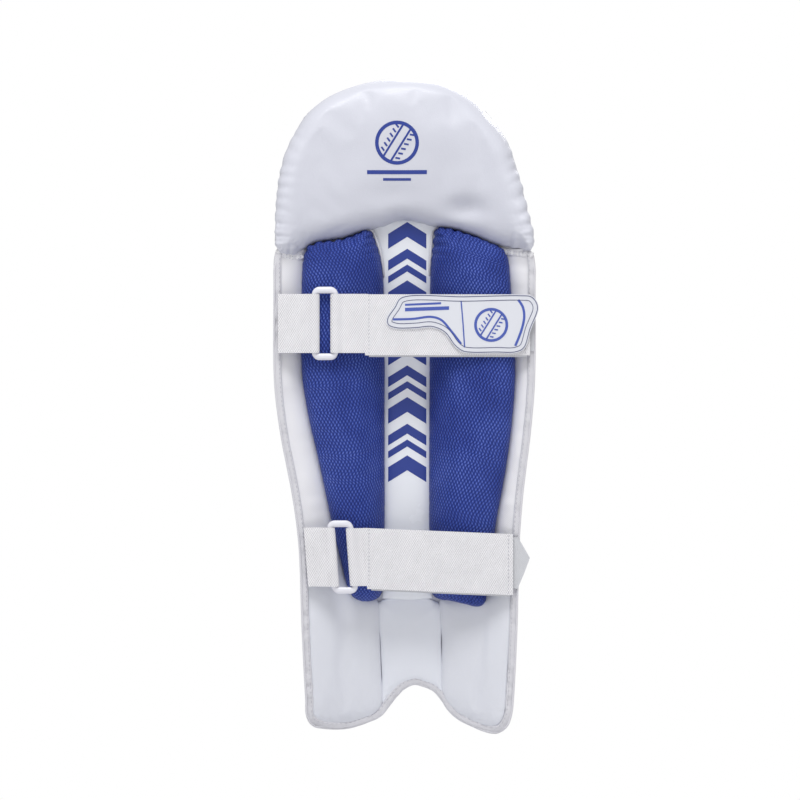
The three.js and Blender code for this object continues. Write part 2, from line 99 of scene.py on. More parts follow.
def rounded_line(points, closed=False, step=2.0):
    """A smooth line through points, resampled at an even step in millimetres."""
    p = np.array(points, float)
    n = len(p)
    dense = []
    spans = n if closed else n - 1
    for i in range(spans):
        if closed:
            a, b, c, d = p[(i - 1) % n], p[i], p[(i + 1) % n], p[(i + 2) % n]
        else:
            a, b, c, d = p[max(i - 1, 0)], p[i], p[i + 1], p[min(i + 2, n - 1)]
        chords = [max(np.linalg.norm(q - r), 1e-6) ** 0.5 for q, r in ((a, b), (b, c), (c, d))]
        t = np.linspace(0, 1, 12, endpoint=False)[:, None]
        m1 = (c - b) / chords[1] - (c - a) / (chords[0] + chords[1]) + (b - a) / chords[0]
        m2 = (c - b) / chords[1] - (d - b) / (chords[1] + chords[2]) + (d - c) / chords[2]
        m1, m2 = m1 * chords[1], m2 * chords[1]
        dense.append((2 * t**3 - 3 * t**2 + 1) * b + (t**3 - 2 * t**2 + t) * m1
                     + (3 * t**2 - 2 * t**3) * c + (t**3 - t**2) * m2)
    dense = np.vstack(dense + [p[:1] if closed else p[-1:]])
    walked = np.r_[0, np.cumsum(np.linalg.norm(np.diff(dense, axis=0), axis=1))]
    count = max(int(round(walked[-1] / step)), 2)
    at = np.linspace(0, walked[-1], count + 1)
    line = np.stack([np.interp(at, walked, dense[:, k]) for k in range(p.shape[1])], 1)
    return line[:-1] if closed else line


left_edge = smooth([
    (0, -97), (30, -99), (110, -103), (190, -106), (243, -113), (300, -124), (355, -130.5),
    (440, -131), (507, -130), (555, -127), (587, -118), (603, -109), (619, -98), (635, -79),
    (645, -58), (651, -39), (TOP, -16)])
right_edge = smooth([
    (0, 104), (30, 108), (110, 112), (190, 114), (243, 118), (300, 125), (355, 129.5),
    (440, 130), (487, 129), (523, 123), (555, 116), (587, 106), (603, 96), (619, 81),
    (635, 66), (645, 48), (651, 33), (TOP, 10)])
foot_edge = smooth([
    (-97, 14), (-88, 7), (-68, 3.5), (-56, 4), (-39, 9), (-26, 15), (-15, 29), (-4, 41), (9, 47),
    (22, 44), (36, 36), (44, 23), (54, 13), (68, 6), (83, 1), (96, 2.5), (104, 13)])


def middle(z):
    return (left_edge(z) + right_edge(z)) / 2


def half_width(z):
    return (right_edge(z) - left_edge(z)) / 2


def sheet(x, z):
    """The curved sheet that every layer follows: flat over the shin, swept back at the wings."""
    share = np.clip(np.abs(x - middle(z)) / half_width(np.minimum(z, WIDEST)), 0, 1)
    depth = np.where(z < KNEE, HOLLOW, np.interp(z, [KNEE, TOP], [HOLLOW, TOP_HOLLOW]))
    return -depth * share**3


def layer(x, z, offset):
    """Points at an offset along Y from the curved sheet."""
    return np.stack(np.broadcast_arrays(x, sheet(x, z) + offset, z), -1)


def directions(line, closed=False):
    """A line's unit direction at each of its points."""
    flow = np.roll(line, -1, 0) - np.roll(line, 1, 0) if closed else np.gradient(line, axis=0)
    return flow / np.linalg.norm(flow, axis=1)[:, None]


def sideways(line, closed=False):
    """The unit normal on the left of a flat line, which is inwards on an anticlockwise outline."""
    flow = directions(line, closed)
    return np.stack([-flow[:, 1], flow[:, 0]], 1)


def noise(x, z, size, seed):
    """Smooth random field of about -1 to 1 with features of the given size."""
    table = np.random.default_rng(seed).uniform(-1, 1, (64, 64))
    u, v = np.asarray(x, float) / size + 17.3, np.asarray(z, float) / size + 5.1
    iu, iv = np.floor(u).astype(int), np.floor(v).astype(int)
    fu, fv = u - iu, v - iv
    fu, fv = fu * fu * (3 - 2 * fu), fv * fv * (3 - 2 * fv)
    pick = lambda a, b: table[a % 64, b % 64]
    low = pick(iu, iv) * (1 - fu) + pick(iu + 1, iv) * fu
    high = pick(iu, iv + 1) * (1 - fu) + pick(iu + 1, iv + 1) * fu
    return low * (1 - fv) + high * fv


# ---- Meshes ----
def link(name, data):
    """Puts mesh, lamp or camera data into the scene as an object."""
    holder = bpy.data.objects.new(name, data)
    bpy.context.scene.collection.objects.link(holder)
    return holder


def settle(name, bm, data, sharp=None):
    """Turns faces outwards, shades them smooth but for edges over sharp degrees, and makes the object."""
    bmesh.ops.recalc_face_normals(bm, faces=bm.faces)
    for face in bm.faces:
        face.smooth = True
    if sharp is not None:
        for edge in bm.edges:
            if len(edge.link_faces) == 2 and edge.calc_face_angle(0) > math.radians(sharp):
                edge.smooth = False
    bm.to_mesh(data)
    bm.free()
    return link(name, data)


def make_mesh(name, points, faces, sharp=None):
    """A mesh object from millimetre points."""
    data = bpy.data.meshes.new(name)
    data.from_pydata((np.asarray(points) * MM).tolist(), [], [list(map(int, f)) for f in faces])
    bm = bmesh.new()
    bm.from_mesh(data)
    return settle(name, bm, data, sharp)


def apply_modifiers(piece):
    """Applies a piece's modifiers to its mesh."""
    shown = piece.evaluated_get(bpy.context.evaluated_depsgraph_get())
    data = bpy.data.meshes.new_from_object(shown)
    piece.modifiers.clear()
    piece.data = data


def grid_faces(rows, columns, start=0, wrap=False):
    faces = []
    across = columns if wrap else columns - 1
    for r in range(rows - 1):
        for c in range(across):
            a, b = start + r * columns + c, start + r * columns + (c + 1) % columns
            faces.append((a, b, b + columns, a + columns))
    return faces


def rim(rows, columns):
    """Indices round the border of a grid, in order."""
    low = list(range(columns))
    right = [r * columns + columns - 1 for r in range(1, rows)]
    high = [(rows - 1) * columns + c for c in range(columns - 2, -1, -1)]
    left = [r * columns for r in range(rows - 2, 0, -1)]
    return low + right + high + left


def closed_form(name, face, back, sharp=None):
    """A closed solid between two grids of the same shape."""
    rows, columns = face.shape[:2]
    count = rows * columns
    points = np.vstack([face.reshape(-1, 3), back.reshape(-1, 3)])
    faces = grid_faces(rows, columns) + grid_faces(rows, columns, count)
    border = rim(rows, columns)
    for a, b in zip(border, border[1:] + border[:1]):
        faces.append((a, b, count + b, count + a))
    return make_mesh(name, points, faces, sharp)


def ring_faces(stations, around, closed):
    """Quads of a tube, which closes on itself or is capped at both ends."""
    faces = grid_faces(stations, around, wrap=True)
    last = (stations - 1) * around
    if closed:
        return faces + [(last + c, last + (c + 1) % around, (c + 1) % around, c) for c in range(around)]
    return faces + [list(range(around))[::-1], [last + c for c in range(around)]]


def sweep(name, path, section, closed=False):
    """A tube along a path. A section's first axis lies towards +Y, and it may change by station."""
    along = directions(path, closed)
    side = np.broadcast_to([0.0, 1.0, 0.0], path.shape).copy()
    side -= (side * along).sum(1)[:, None] * along
    side /= np.linalg.norm(side, axis=1)[:, None]
    up = np.cross(along, side)
    rings = path[:, None] + section[..., :1] * side[:, None] + section[..., 1:] * up[:, None]
    return make_mesh(name, rings.reshape(-1, 3), ring_faces(*rings.shape[:2], closed))


def corner_arcs(width, height, radius, steps):
    """The angle and place of each point round a rounded rectangle."""
    for sx, sy, start in ((1, 1, 0), (-1, 1, 90), (-1, -1, 180), (1, -1, 270)):
        for k in range(steps + 1):
            a = math.radians(start + 90 * k / steps)
            yield (a, sx * (width / 2 - radius) + radius * math.cos(a),
                   sy * (height / 2 - radius) + radius * math.sin(a))


def rounded_section(depth, width, radius):
    """A rounded rectangle as a tube's section, with its depth along Y."""
    return np.array([(y, x) for _, x, y in corner_arcs(width, depth, radius, 4)])


def flat_shape(name, outline, holes=(), thickness=0.0, y=0.0, step=3.0):
    """A flat plate cut in the XZ plane, filled with even triangles, with its thickness towards +Y."""
    bm = bmesh.new()
    for loop in (outline, *holes):
        verts = [bm.verts.new((p[0] * MM, y * MM, p[1] * MM)) for p in loop]
        for a, b in zip(verts, verts[1:] + verts[:1]):
            bm.edges.new((a, b))
    bmesh.ops.triangle_fill(bm, use_beauty=True, edges=bm.edges[:], normal=(0, -1, 0))
    if step:
        for _ in range(4):
            long = [e for e in bm.edges if e.calc_length() > step * MM * 1.6]
            if not long:
                break
            bmesh.ops.subdivide_edges(bm, edges=long, cuts=1)
            bmesh.ops.triangulate(bm, faces=bm.faces[:])
    if thickness:
        made = bmesh.ops.extrude_face_region(bm, geom=bm.faces[:])
        moved = [v for v in made["geom"] if isinstance(v, bmesh.types.BMVert)]
        bmesh.ops.translate(bm, verts=moved, vec=(0, thickness * MM, 0))
    return settle(name, bm, bpy.data.meshes.new(name), sharp=40)


def surface_of(piece, away=-1):
    """A function that gives the millimetre y of a piece's face towards the straps (or the front)."""
    verts = [v.co.copy() for v in piece.data.vertices]
    tree = BVHTree.FromPolygons(verts, [tuple(p.vertices) for p in piece.data.polygons])

    def height(x, z):
        hit = tree.ray_cast(Vector((x * MM, away, z * MM)), Vector((0, -away, 0)))[0]
        return None if hit is None else hit.y / MM

    return height


def lay_on(piece, height):
    """Lets a thin flat print follow a surface, standing a little proud of it."""
    near = min(v.co.y for v in piece.data.vertices)
    for v in piece.data.vertices:
        y = height(v.co.x / MM, v.co.z / MM)
        if y is not None:
            v.co.y = (y - PRINT_LIFT + (PRINT_THICK if v.co.y > near + 1e-6 else 0)) * MM
    piece.data.update()


def stitches(name, line, height, pitch, length, width, lift=0.4, body="root"):
    """A row of thread stitches along an XZ line, lying on a surface."""
    line = rounded_line(line, step=pitch)
    points, faces = [], []
    for a, b in zip(line[:-1], line[1:]):
        way = (b - a) / max(np.linalg.norm(b - a), 1e-6)
        centre = (a + b) / 2
        y = height(*centre)
        if y is None:
            continue
        across = np.array([-way[1], way[0]])
        ends = [centre - way * length / 2, centre + way * length / 2]
        sides = [centre - across * width / 2, centre + across * width / 2]
        start = len(points)
        points += [(ends[0][0], y, ends[0][1]), (ends[1][0], y, ends[1][1]),
                   (sides[0][0], y, sides[0][1]), (sides[1][0], y, sides[1][1]),
                   (centre[0], y - lift, centre[1]), (centre[0], y + lift, centre[1])]
        for top in (4, 5):
            for p, q in ((0, 2), (2, 1), (1, 3), (3, 0)):
                faces.append((start + p, start + q, start + top))
    finish_piece(make_mesh(name, points, faces), body, THREAD)


# ---- Materials ----
class Shade:
    """A small builder for procedural materials on the piece's own coordinates."""

    def __init__(self, name, color, roughness, specular=0.5, sheen=0.0, coat=0.0):
        self.material = bpy.data.materials.new(name)
        self.material.use_nodes = True
        self.tree = self.material.node_tree
        self.nodes, self.links = self.tree.nodes, self.tree.links
        self.shader = self.nodes["Principled BSDF"]
        self.color = (*color, 1)
        self.shader.inputs["Base Color"].default_value = self.color
        self.shader.inputs["Roughness"].default_value = roughness
        self.shader.inputs["Specular IOR Level"].default_value = specular
        self.shader.inputs["Sheen Weight"].default_value = sheen
        self.shader.inputs["Coat Weight"].default_value = coat
        self.coordinates = self.nodes.new("ShaderNodeTexCoord").outputs["Object"]
        self.last_bump = None

    def noise(self, scale, detail):
        node = self.nodes.new("ShaderNodeTexNoise")
        node.inputs["Scale"].default_value = scale
        node.inputs["Detail"].default_value = detail
        self.links.new(self.coordinates, node.inputs["Vector"])
        return node.outputs["Fac"]

    def cells(self, scale):
        node = self.nodes.new("ShaderNodeTexVoronoi")
        node.inputs["Scale"].default_value = scale
        self.links.new(self.coordinates, node.inputs["Vector"])
        return node.outputs["Distance"]

    def across(self):
        """The first of the pattern's own coordinates, in metres."""
        node = self.nodes.new("ShaderNodeSeparateXYZ")
        self.links.new(self.coordinates, node.inputs[0])
        return node.outputs["X"]

    def wave(self, along, pitch_mm, bend=None):
        """A sine of -1 to 1 along a direction, with the given pitch."""
        dot = self.nodes.new("ShaderNodeVectorMath")
        dot.operation = "DOT_PRODUCT"
        dot.inputs[1].default_value = Vector(along).normalized() * (2 * math.pi / (pitch_mm * MM))
        self.links.new(self.coordinates, dot.inputs[0])
        value = dot.outputs["Value"]
        return self.math("SINE", value if bend is None else self.add(value, bend))

    def add(self, a, b, clamp=False):
        return self.math("ADD", a, b, clamp)

    def times(self, a, b):
        return self.math("MULTIPLY", a, b)

    def math(self, operation, a, b=None, clamp=False):
        node = self.nodes.new("ShaderNodeMath")
        node.operation = operation
        node.use_clamp = clamp
        for socket, value in zip(node.inputs, (a, b)):
            if value is None:
                continue
            if isinstance(value, (int, float)):
                socket.default_value = value
            else:
                self.links.new(value, socket)
        return node.outputs[0]

    def paint(self, value, stops):
        """Base colour from a ramp of (position, color) stops."""
        node = self.nodes.new("ShaderNodeValToRGB")
        ramp = node.color_ramp
        while len(ramp.elements) < len(stops):
            ramp.elements.new(0.5)
        for element, (position, color) in zip(ramp.elements, stops):
            element.position = position
            element.color = (*color, 1)
        self.links.new(value, node.inputs["Fac"])
        self.links.new(node.outputs["Color"], self.shader.inputs["Base Color"])

    def tint(self, value, dark):
        """Colour that runs from color times dark to the plain color with value."""
        color = self.color[:3]
        shaded = tuple(c * d for c, d in zip(color, dark))
        self.paint(value, [(0, shaded), (1, color)])

    def rough(self, value, low, high):
        node = self.nodes.new("ShaderNodeMapRange")
        node.inputs["To Min"].default_value = low
        node.inputs["To Max"].default_value = high
        self.links.new(value, node.inputs["Value"])
        self.links.new(node.outputs["Result"], self.shader.inputs["Roughness"])

    def bump(self, height, distance_mm):
        node = self.nodes.new("ShaderNodeBump")
        node.inputs["Strength"].default_value = 1.0
        node.inputs["Distance"].default_value = distance_mm * MM
        self.links.new(height, node.inputs["Height"])
        if self.last_bump is not None:
            self.links.new(self.last_bump, node.inputs["Normal"])
        self.last_bump = node.outputs["Normal"]
        self.links.new(self.last_bump, self.shader.inputs["Normal"])


def pu_leather(name, color, roughness, grain=0.05, crease=0.25):
    """Smooth coated fabric with a fine pebble grain and faint handling creases."""
    s = Shade(name, color, roughness, specular=0.45, coat=0.05)
    s.tint(s.noise(9, 3), (0.955, 0.955, 0.965))
    s.rough(s.noise(40, 3), roughness - 0.06, roughness + 0.09)
    s.bump(s.noise(45, 4), crease)
    s.bump(s.cells(900), grain)
    return s.material


def air_mesh(name):
    """Knitted spacer mesh: fine slanting cords that cross, with small shiny loops between them. Its colour
    holds painted shade in the grooves between cells and a painted highlight on the loops.
    """
    s = Shade(name, (0.045, 0.075, 0.30), 0.42, specular=0.2)
    # Random tone patches, which also make the painted highlights stronger in some areas than others.
    tone_and_glint_patches = s.times(s.math("SUBTRACT", s.noise(22, 4), 0.5), 0.7)
    drift = s.times(s.noise(12, 2), 3.0)
    s.coordinates = s.nodes["Texture Coordinate"].outputs["UV"]
    one, two = (s.math("ABSOLUTE", s.wave((way, 0.5, 0), 6.2, drift)) for way in (0.86, -0.86))
    diamonds = s.math("POWER", s.times(one, two), 0.7)
    right = s.add(s.times(s.across(), 9.0), 0.5, clamp=True)
    left = s.math("SUBTRACT", 1.0, right)
    cords = s.add(s.times(one, left), s.times(two, right))
    cell = s.add(s.times(diamonds, 0.6), s.times(cords, 0.36))
    yarn = s.times(s.wave((0.2, 1, 0), 1.15), 0.1)
    relief = s.add(cell, yarn)
    # The ramp is painted light: darkest in the grooves as painted shade, brightest on the loop tops as a
    # painted highlight.
    s.paint(s.add(relief, tone_and_glint_patches, clamp=True),
            [(0.0, (0.008, 0.015, 0.12)), (0.35, (0.019, 0.038, 0.24)),
             (0.8, (0.038, 0.076, 0.38)), (1.0, (0.13, 0.19, 0.60))])
    s.bump(relief, 0.85)
    return s.material


def woven(name, color, pitch_mm, relief_mm, dark=0.86, steep=1.0, uneven=0.35):
    """Cloth or webbing with a crossing diagonal weave."""
    s = Shade(name, color, 0.75, specular=0.3, sheen=0.12)
    drift = s.times(s.noise(25, 2), 1.5)
    one = s.wave((1, 0.3, steep), pitch_mm, drift)
    two = s.wave((-1, -0.3, steep), pitch_mm * 1.13, drift)
    weave = s.add(s.add(s.times(one, 0.3), s.times(two, 0.2)), 0.5)
    patchy = s.times(s.math("SUBTRACT", s.noise(70, 3), 0.5), uneven)
    s.tint(s.add(weave, patchy, clamp=True), (dark, dark, dark * 1.01))
    s.bump(weave, relief_mm)
    return s.material


def moulded(name, color, roughness):
    s = Shade(name, color, roughness)
    s.tint(s.noise(25, 2), (0.96, 0.96, 0.97))
    s.rough(s.noise(90, 3), roughness - 0.05, roughness + 0.1)
    s.bump(s.noise(350, 2), 0.03)
    return s.material


def printed(name, color):
    """Flexible printed film with the faint grain of what it lies on."""
    s = Shade(name, color, 0.3)
    s.tint(s.noise(60, 3), (0.88, 0.9, 0.93))
    s.bump(s.cells(900), 0.03)
    return s.material


def fibrous(name, color, scale, relief):
    """Pressed fibre board."""
    s = Shade(name, color, 0.9, specular=0.2)
    s.tint(s.noise(scale, 5), (0.8, 0.8, 0.78))
    s.bump(s.cells(scale * 3), relief)
    return s.material


WHITE = pu_leather("white_pu", (0.655, 0.665, 0.735), 0.42)
INSTEP_PU = pu_leather("instep_pu", (0.75, 0.765, 0.82), 0.38)
# A lighter copy of the instep PU for the centre panel: painted light that lifts the shade the lower strap
# and the panel's hollow put on it.
INSTEP_CENTRE_LIT = pu_leather("instep_centre_pu_lit", (0.82, 0.84, 0.90), 0.38)
# Glossy channel PU: partly a brighter white of its own, partly painted light that lifts the shade of its
# recess between the bolsters.
CHANNEL_LIT = pu_leather("channel_pu", (0.9, 0.92, 0.96), 0.24, grain=0.02, crease=0.35)
MESH = air_mesh("blue_mesh")
NYLON = woven("white_nylon", (0.91, 0.905, 0.925), 1.3, 0.08, dark=0.93, uneven=0.5)
BINDING = woven("binding_tape", (0.70, 0.695, 0.73), 1.6, 0.12, dark=0.9)
WEBBING = woven("strap_webbing", (0.94, 0.93, 0.96), 1.75, 0.4, dark=0.66, steep=0.62)
PLASTIC = moulded("ring_plastic", (0.80, 0.80, 0.86), 0.3)
HOOK = woven("hook_tape", (0.66, 0.67, 0.70), 1.2, 0.2, dark=0.88)
THREAD = woven("thread", (0.55, 0.55, 0.60), 0.8, 0.05)
INK = printed("blue_print", (0.028, 0.055, 0.30))
TAB_INK = printed("tab_print", (0.075, 0.12, 0.46))
FINE_INK = printed("fine_line", (0.05, 0.06, 0.17))
FIBRE = fibrous("fibre_board", (0.60, 0.55, 0.44), 90, 0.15)


def finish_piece(piece, body, material, replaces=()):
    """Gives a piece its material and body, and hides the CAD nodes that it stands for."""
    piece.data.materials.clear()
    piece.data.materials.append(material)
    if body is not None:
        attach(piece, body)
    if replaces:
        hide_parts(*replaces)
    return piece


# ---- Padded pieces ----
def clustered(count):
    """Shares from 0 to 1, closer together near both ends."""
    t = np.linspace(0, 1, count)
    return 0.35 * t + 0.65 * (0.5 - 0.5 * np.cos(np.pi * t))


def patch(outline, corners, across, up):
    """Fills a closed outline with a grid. corners are four points on it, anticlockwise from low left."""
    line = rounded_line(outline, closed=True, step=1.0)
    picks = [int(np.argmin(np.linalg.norm(line - np.array(c), axis=1))) for c in corners]

    def side(a, b, count):
        b = b if b > a else b + len(line)
        run = line[np.arange(a, b + 1) % len(line)]
        walked = np.r_[0, np.cumsum(np.linalg.norm(np.diff(run, axis=0), axis=1))]
        at = clustered(count) * walked[-1]
        return np.stack([np.interp(at, walked, run[:, k]) for k in (0, 1)], 1)

    low = side(picks[0], picks[1], across)
    right = side(picks[1], picks[2], up)
    high = side(picks[2], picks[3], across)[::-1]
    left = side(picks[3], picks[0], up)[::-1]
    u, v = clustered(across)[None, :, None], clustered(up)[:, None, None]
    sides = (1 - u) * left[:, None] + u * right[:, None]
    ends = (1 - v) * low[None] + v * high[None]
    mixed = ((1 - u) * (1 - v) * low[0] + u * (1 - v) * low[-1]
             + (1 - u) * v * high[0] + u * v * high[-1])
    grid = sides + ends - mixed
    return grid[..., 0], grid[..., 1], line


def from_border(x, z, line):
    """Each point's distance to a closed line, and how far round it the nearest spot is."""
    points = np.stack([x.ravel(), z.ravel()], 1)
    reach = np.empty(len(points))
    spot = np.empty(len(points))
    for start in range(0, len(points), 2000):
        block = points[start:start + 2000]
        gap = np.linalg.norm(block[:, None] - line[None], axis=2)
        reach[start:start + 2000] = gap.min(1)
        spot[start:start + 2000] = gap.argmin(1)
    return reach.reshape(x.shape), spot.reshape(x.shape)


def pillow(name, outline, corners, across, up, rise, radius, out=-1, seat=1.0, lip=2.2, dome=None):
    """A crowned closed form over an outline. Its sides roll over within radius of the seam."""
    x, z, line = patch(outline, corners, across, up)
    reach, spot = from_border(x, z, line)
    crown = (1 - (1 - np.clip(reach / radius, 0, 1)) ** CROWN_POWER) ** (1 / CROWN_POWER)
    height = rise * crown
    if dome is not None:
        height = height + dome(x, z) * crown
    face = layer(x, z, out * (seat + lip + height))
    back = layer(x, z, out * seat)
    return closed_form(name, face, back), dict(x=x, z=z, reach=reach, spot=spot, line=line, out=out)


def measure_cloth(piece, grid):
    """Lays the cloth's own flat coordinates, in metres, over a padded face."""
    place = np.array([v.co for v in piece.data.vertices])[:grid["x"].size]
    place = place.reshape(*grid["x"].shape, 3)
    across = np.linalg.norm(np.diff(place, axis=1), axis=2)
    upward = np.linalg.norm(np.diff(place, axis=0), axis=2)
    u = np.pad(np.cumsum(across, axis=1), ((0, 0), (1, 0)))
    u = u - u[:, -1:] / 2
    v = np.pad(np.cumsum(upward, axis=0), ((1, 0), (0, 0)))
    v = np.broadcast_to(v[:, v.shape[1] // 2][:, None], u.shape)
    flat = np.stack([u, v], -1).reshape(-1, 2)
    flat = np.vstack([flat, flat])
    layer = piece.data.uv_layers.new(name="cloth")
    corner = np.array([loop.vertex_index for loop in piece.data.loops])
    layer.data.foreach_set("uv", flat[corner].ravel())


def inflate(piece, grid, pressure, slack, cap):
    """Cloth simulation with the back and the seam pinned, then the result capped and applied."""
    up, across = grid["x"].shape
    count = up * across
    data = piece.data
    start = np.array([v.co for v in data.vertices])
    border = set(rim(up, across))
    pins = [i for i in range(len(start)) if i >= count or i in border]
    group = piece.vertex_groups.new(name="pins")
    group.add(pins, 1.0, "REPLACE")
    piece.shape_key_add(name="Basis")
    loose = piece.shape_key_add(name="loose")
    centre = start[:count].mean(0)
    for i in range(count):
        loose.data[i].co = Vector(centre + (start[i] - centre) * (1 + slack))
    cloth = piece.modifiers.new("cloth", "CLOTH")
    settings = cloth.settings
    settings.quality = 6
    settings.mass = 0.25
    settings.tension_stiffness = settings.compression_stiffness = 25
    settings.shear_stiffness = 8
    settings.bending_stiffness = 6
    settings.vertex_group_mass = "pins"
    settings.use_pressure = True
    settings.uniform_pressure_force = pressure
    settings.effector_weights.gravity = 0
    settings.rest_shape_key = loose
    cloth.collision_settings.use_collision = False
    cloth.point_cache.frame_start, cloth.point_cache.frame_end = 1, SIM_FRAMES
    scene = bpy.context.scene
    for number in range(1, SIM_FRAMES + 1):
        scene.frame_set(number)
    shown = piece.evaluated_get(bpy.context.evaluated_depsgraph_get())
    moved = np.array([v.co for v in shown.data.vertices])
    piece.modifiers.remove(cloth)
    piece.shape_key_clear()
    piece.vertex_groups.clear()
    scene.frame_set(1)
    step = moved - start
    far = np.linalg.norm(step, axis=1)
    step *= np.minimum(1, cap * MM / np.maximum(far, 1e-9))[:, None]
    data.vertices.foreach_set("co", (start + step).ravel())
    data.update()


def wrinkle(piece, grid, folds, scallop=None):
    """Presses folds into a padded face. folds moves it in and out, scallop draws the seam inwards."""
    x, z, reach, spot = (grid[key] for key in ("x", "z", "reach", "spot"))
    data, count = piece.data, grid["x"].size
    place = np.array([v.co for v in data.vertices])
    near = np.clip(reach / 4, 0.2, 1)
    place[:count, 1] += grid["out"] * (folds(x, z, reach, spot) * near).ravel() * MM
    if scallop is not None:
        inward = sideways(grid["line"], closed=True)[spot.ravel().astype(int)]
        push = scallop(x, z, reach, spot).ravel()[:, None] * inward * MM
        for first in (0, count):
            place[first:first + count, ::2] += push
    data.vertices.foreach_set("co", place.ravel())
    data.update()


def ridges(spot, x, z, wavelength, wander, seed):
    """Rounded ridges that run in from a seam, unevenly spaced, from 0 to 1."""
    phase = spot * 2 * np.pi / wavelength + wander * noise(x, z, 24, seed)
    strength = 0.65 + 0.35 * noise(spot, 0 * spot, 19, seed + 1)
    return (1 - np.abs(np.sin(phase / 2)) ** 0.8) * strength


def subdivide(piece):
    """One level of subdivision, applied to the mesh."""
    modifier = piece.modifiers.new("fine", "SUBSURF")
    modifier.levels = modifier.render_levels = 1
    apply_modifiers(piece)
    for polygon in piece.data.polygons:
        polygon.use_smooth = True


BOLSTER_LEFT = [
    (-56, 141), (-50, 134), (-40, 131), (-30, 133), (-23.5, 139), (-21.5, 160), (-20.5, 205),
    (-20.5, 300), (-20.5, 400), (-22, 458), (-25, 481), (-30, 497), (-34, 506), (-41, 507.5),
    (-49, 504), (-61, 499.5), (-74, 497), (-89, 495), (-99, 489), (-102.5, 477), (-104, 451),
    (-104, 365), (-99, 327), (-86, 269), (-74, 212), (-64, 170)]
BOLSTER_RIGHT = [
    (27.5, 139), (33, 134), (47, 131.5), (62, 128), (74, 126), (80.5, 130), (83, 140), (92, 212),
    (102, 269), (109, 327), (111, 365), (108.5, 420), (106, 455), (103.5, 479), (98, 488),
    (87, 494), (68, 502), (47, 509.5), (36, 510.5), (30, 507), (27.5, 490), (25.5, 458),
    (25, 400), (24.5, 300), (24.5, 205), (25.5, 160)]


def near_top(z):
    """How far a height is into the gathered tops of the bolsters."""
    return np.clip((z - 470) / 25, 0, 1)


def make_bolsters():
    for side, outline, corners in (
        ("left", BOLSTER_LEFT, [(-56, 141), (-23.5, 139), (-34, 506), (-99, 489)]),
        ("right", BOLSTER_RIGHT, [(27.5, 139), (80.5, 130), (98, 488), (30, 507)]),
    ):
        piece, grid = pillow(f"bolster_{side}", outline, corners, 44, 150, 28, 24)
        inflate(piece, grid, 3.0, 0.012, 4)

        pleats = dict(wavelength=9.6, wander=2.0, seed=len(side))

        def folds(x, z, reach, spot, seed=len(side), pleats=pleats):
            foot = np.clip((165 - z) / 25, 0, 1)
            gathers = ridges(spot, x, z, **pleats) * np.exp(-reach / 15)
            soft = noise(x, z, 34, seed + 3) * 0.8 + noise(x, z, 13, seed + 4) * 0.3
            return soft - 8.0 * (near_top(z) + 0.3 * foot) * gathers * np.clip(reach / 5, 0.3, 1)

        def scallop(x, z, reach, spot, pleats=pleats):
            top = 0.15 + 0.85 * near_top(z)
            return 3.6 * top * ridges(spot, x, z, **pleats) * np.exp(-reach / 9)

        measure_cloth(piece, grid)
        wrinkle(piece, grid, folds, scallop)
        subdivide(piece)
        finish_piece(piece, "root", MESH,
                     [f"bolster_{side}_cover", f"bolster_{side}_core"])
        rim_line = [p for p in outline if p[1] > 420 and (p[0] > -50 if side == "left" else p[0] < 40)]
        shift = 1.2 if side == "left" else -1.2
        rim_line = [(px + shift, pz - 0.5) for px, pz in rim_line]
        line = rounded_line(rim_line)
        sink = 8.5 * np.sqrt(np.sin(np.linspace(0.0, np.pi, len(line))).clip(0, 1))
        cord = sweep(f"bolster_{side}_piping", layer(*line.T, -1.0 - sink), rounded_section(2.2, 2.2, 1.05))
        finish_piece(cord, "root", BINDING)


HAT = [
    (-128, 484), (-121, 480.5), (-113, 479.5), (-105, 483), (-95, 491), (-85, 494.5), (-62, 498.5),
    (-45, 504), (-33, 507.5), (-22, 510), (-5, 516.5), (17, 513), (28, 510), (40, 508.5),
    (52, 506.5), (65, 502), (75, 498), (85, 493), (100, 489), (114, 486), (127, 485), (130, 496),
    (128.2, 510), (124.5, 524), (121, 539), (117.2, 555), (111.5, 571), (106, 587), (96, 603),
    (82, 619), (66.5, 635), (50, 645), (32, 652), (2, TOP), (-20, 654.5), (-39, 651), (-62, 644),
    (-80, 635), (-98, 620), (-110, 603), (-119, 587), (-124.5, 571), (-128, 555), (-129.5, 539),
    (-130.5, 523), (-131, 507), (-131, 495)]


def crowned(x, z, share=1.0):
    """The stuffed crown of the top hat stands a little past the board's own edge."""
    across = share * np.clip((z - 575) / 45, 0, 1) * np.clip(abs(x) / 30, 0, 1)
    upward = share * np.clip((z - 560) / 95, 0, 1)
    return x + np.where(x > 0, 2.8, -1.6) * across, z + 4.6 * upward


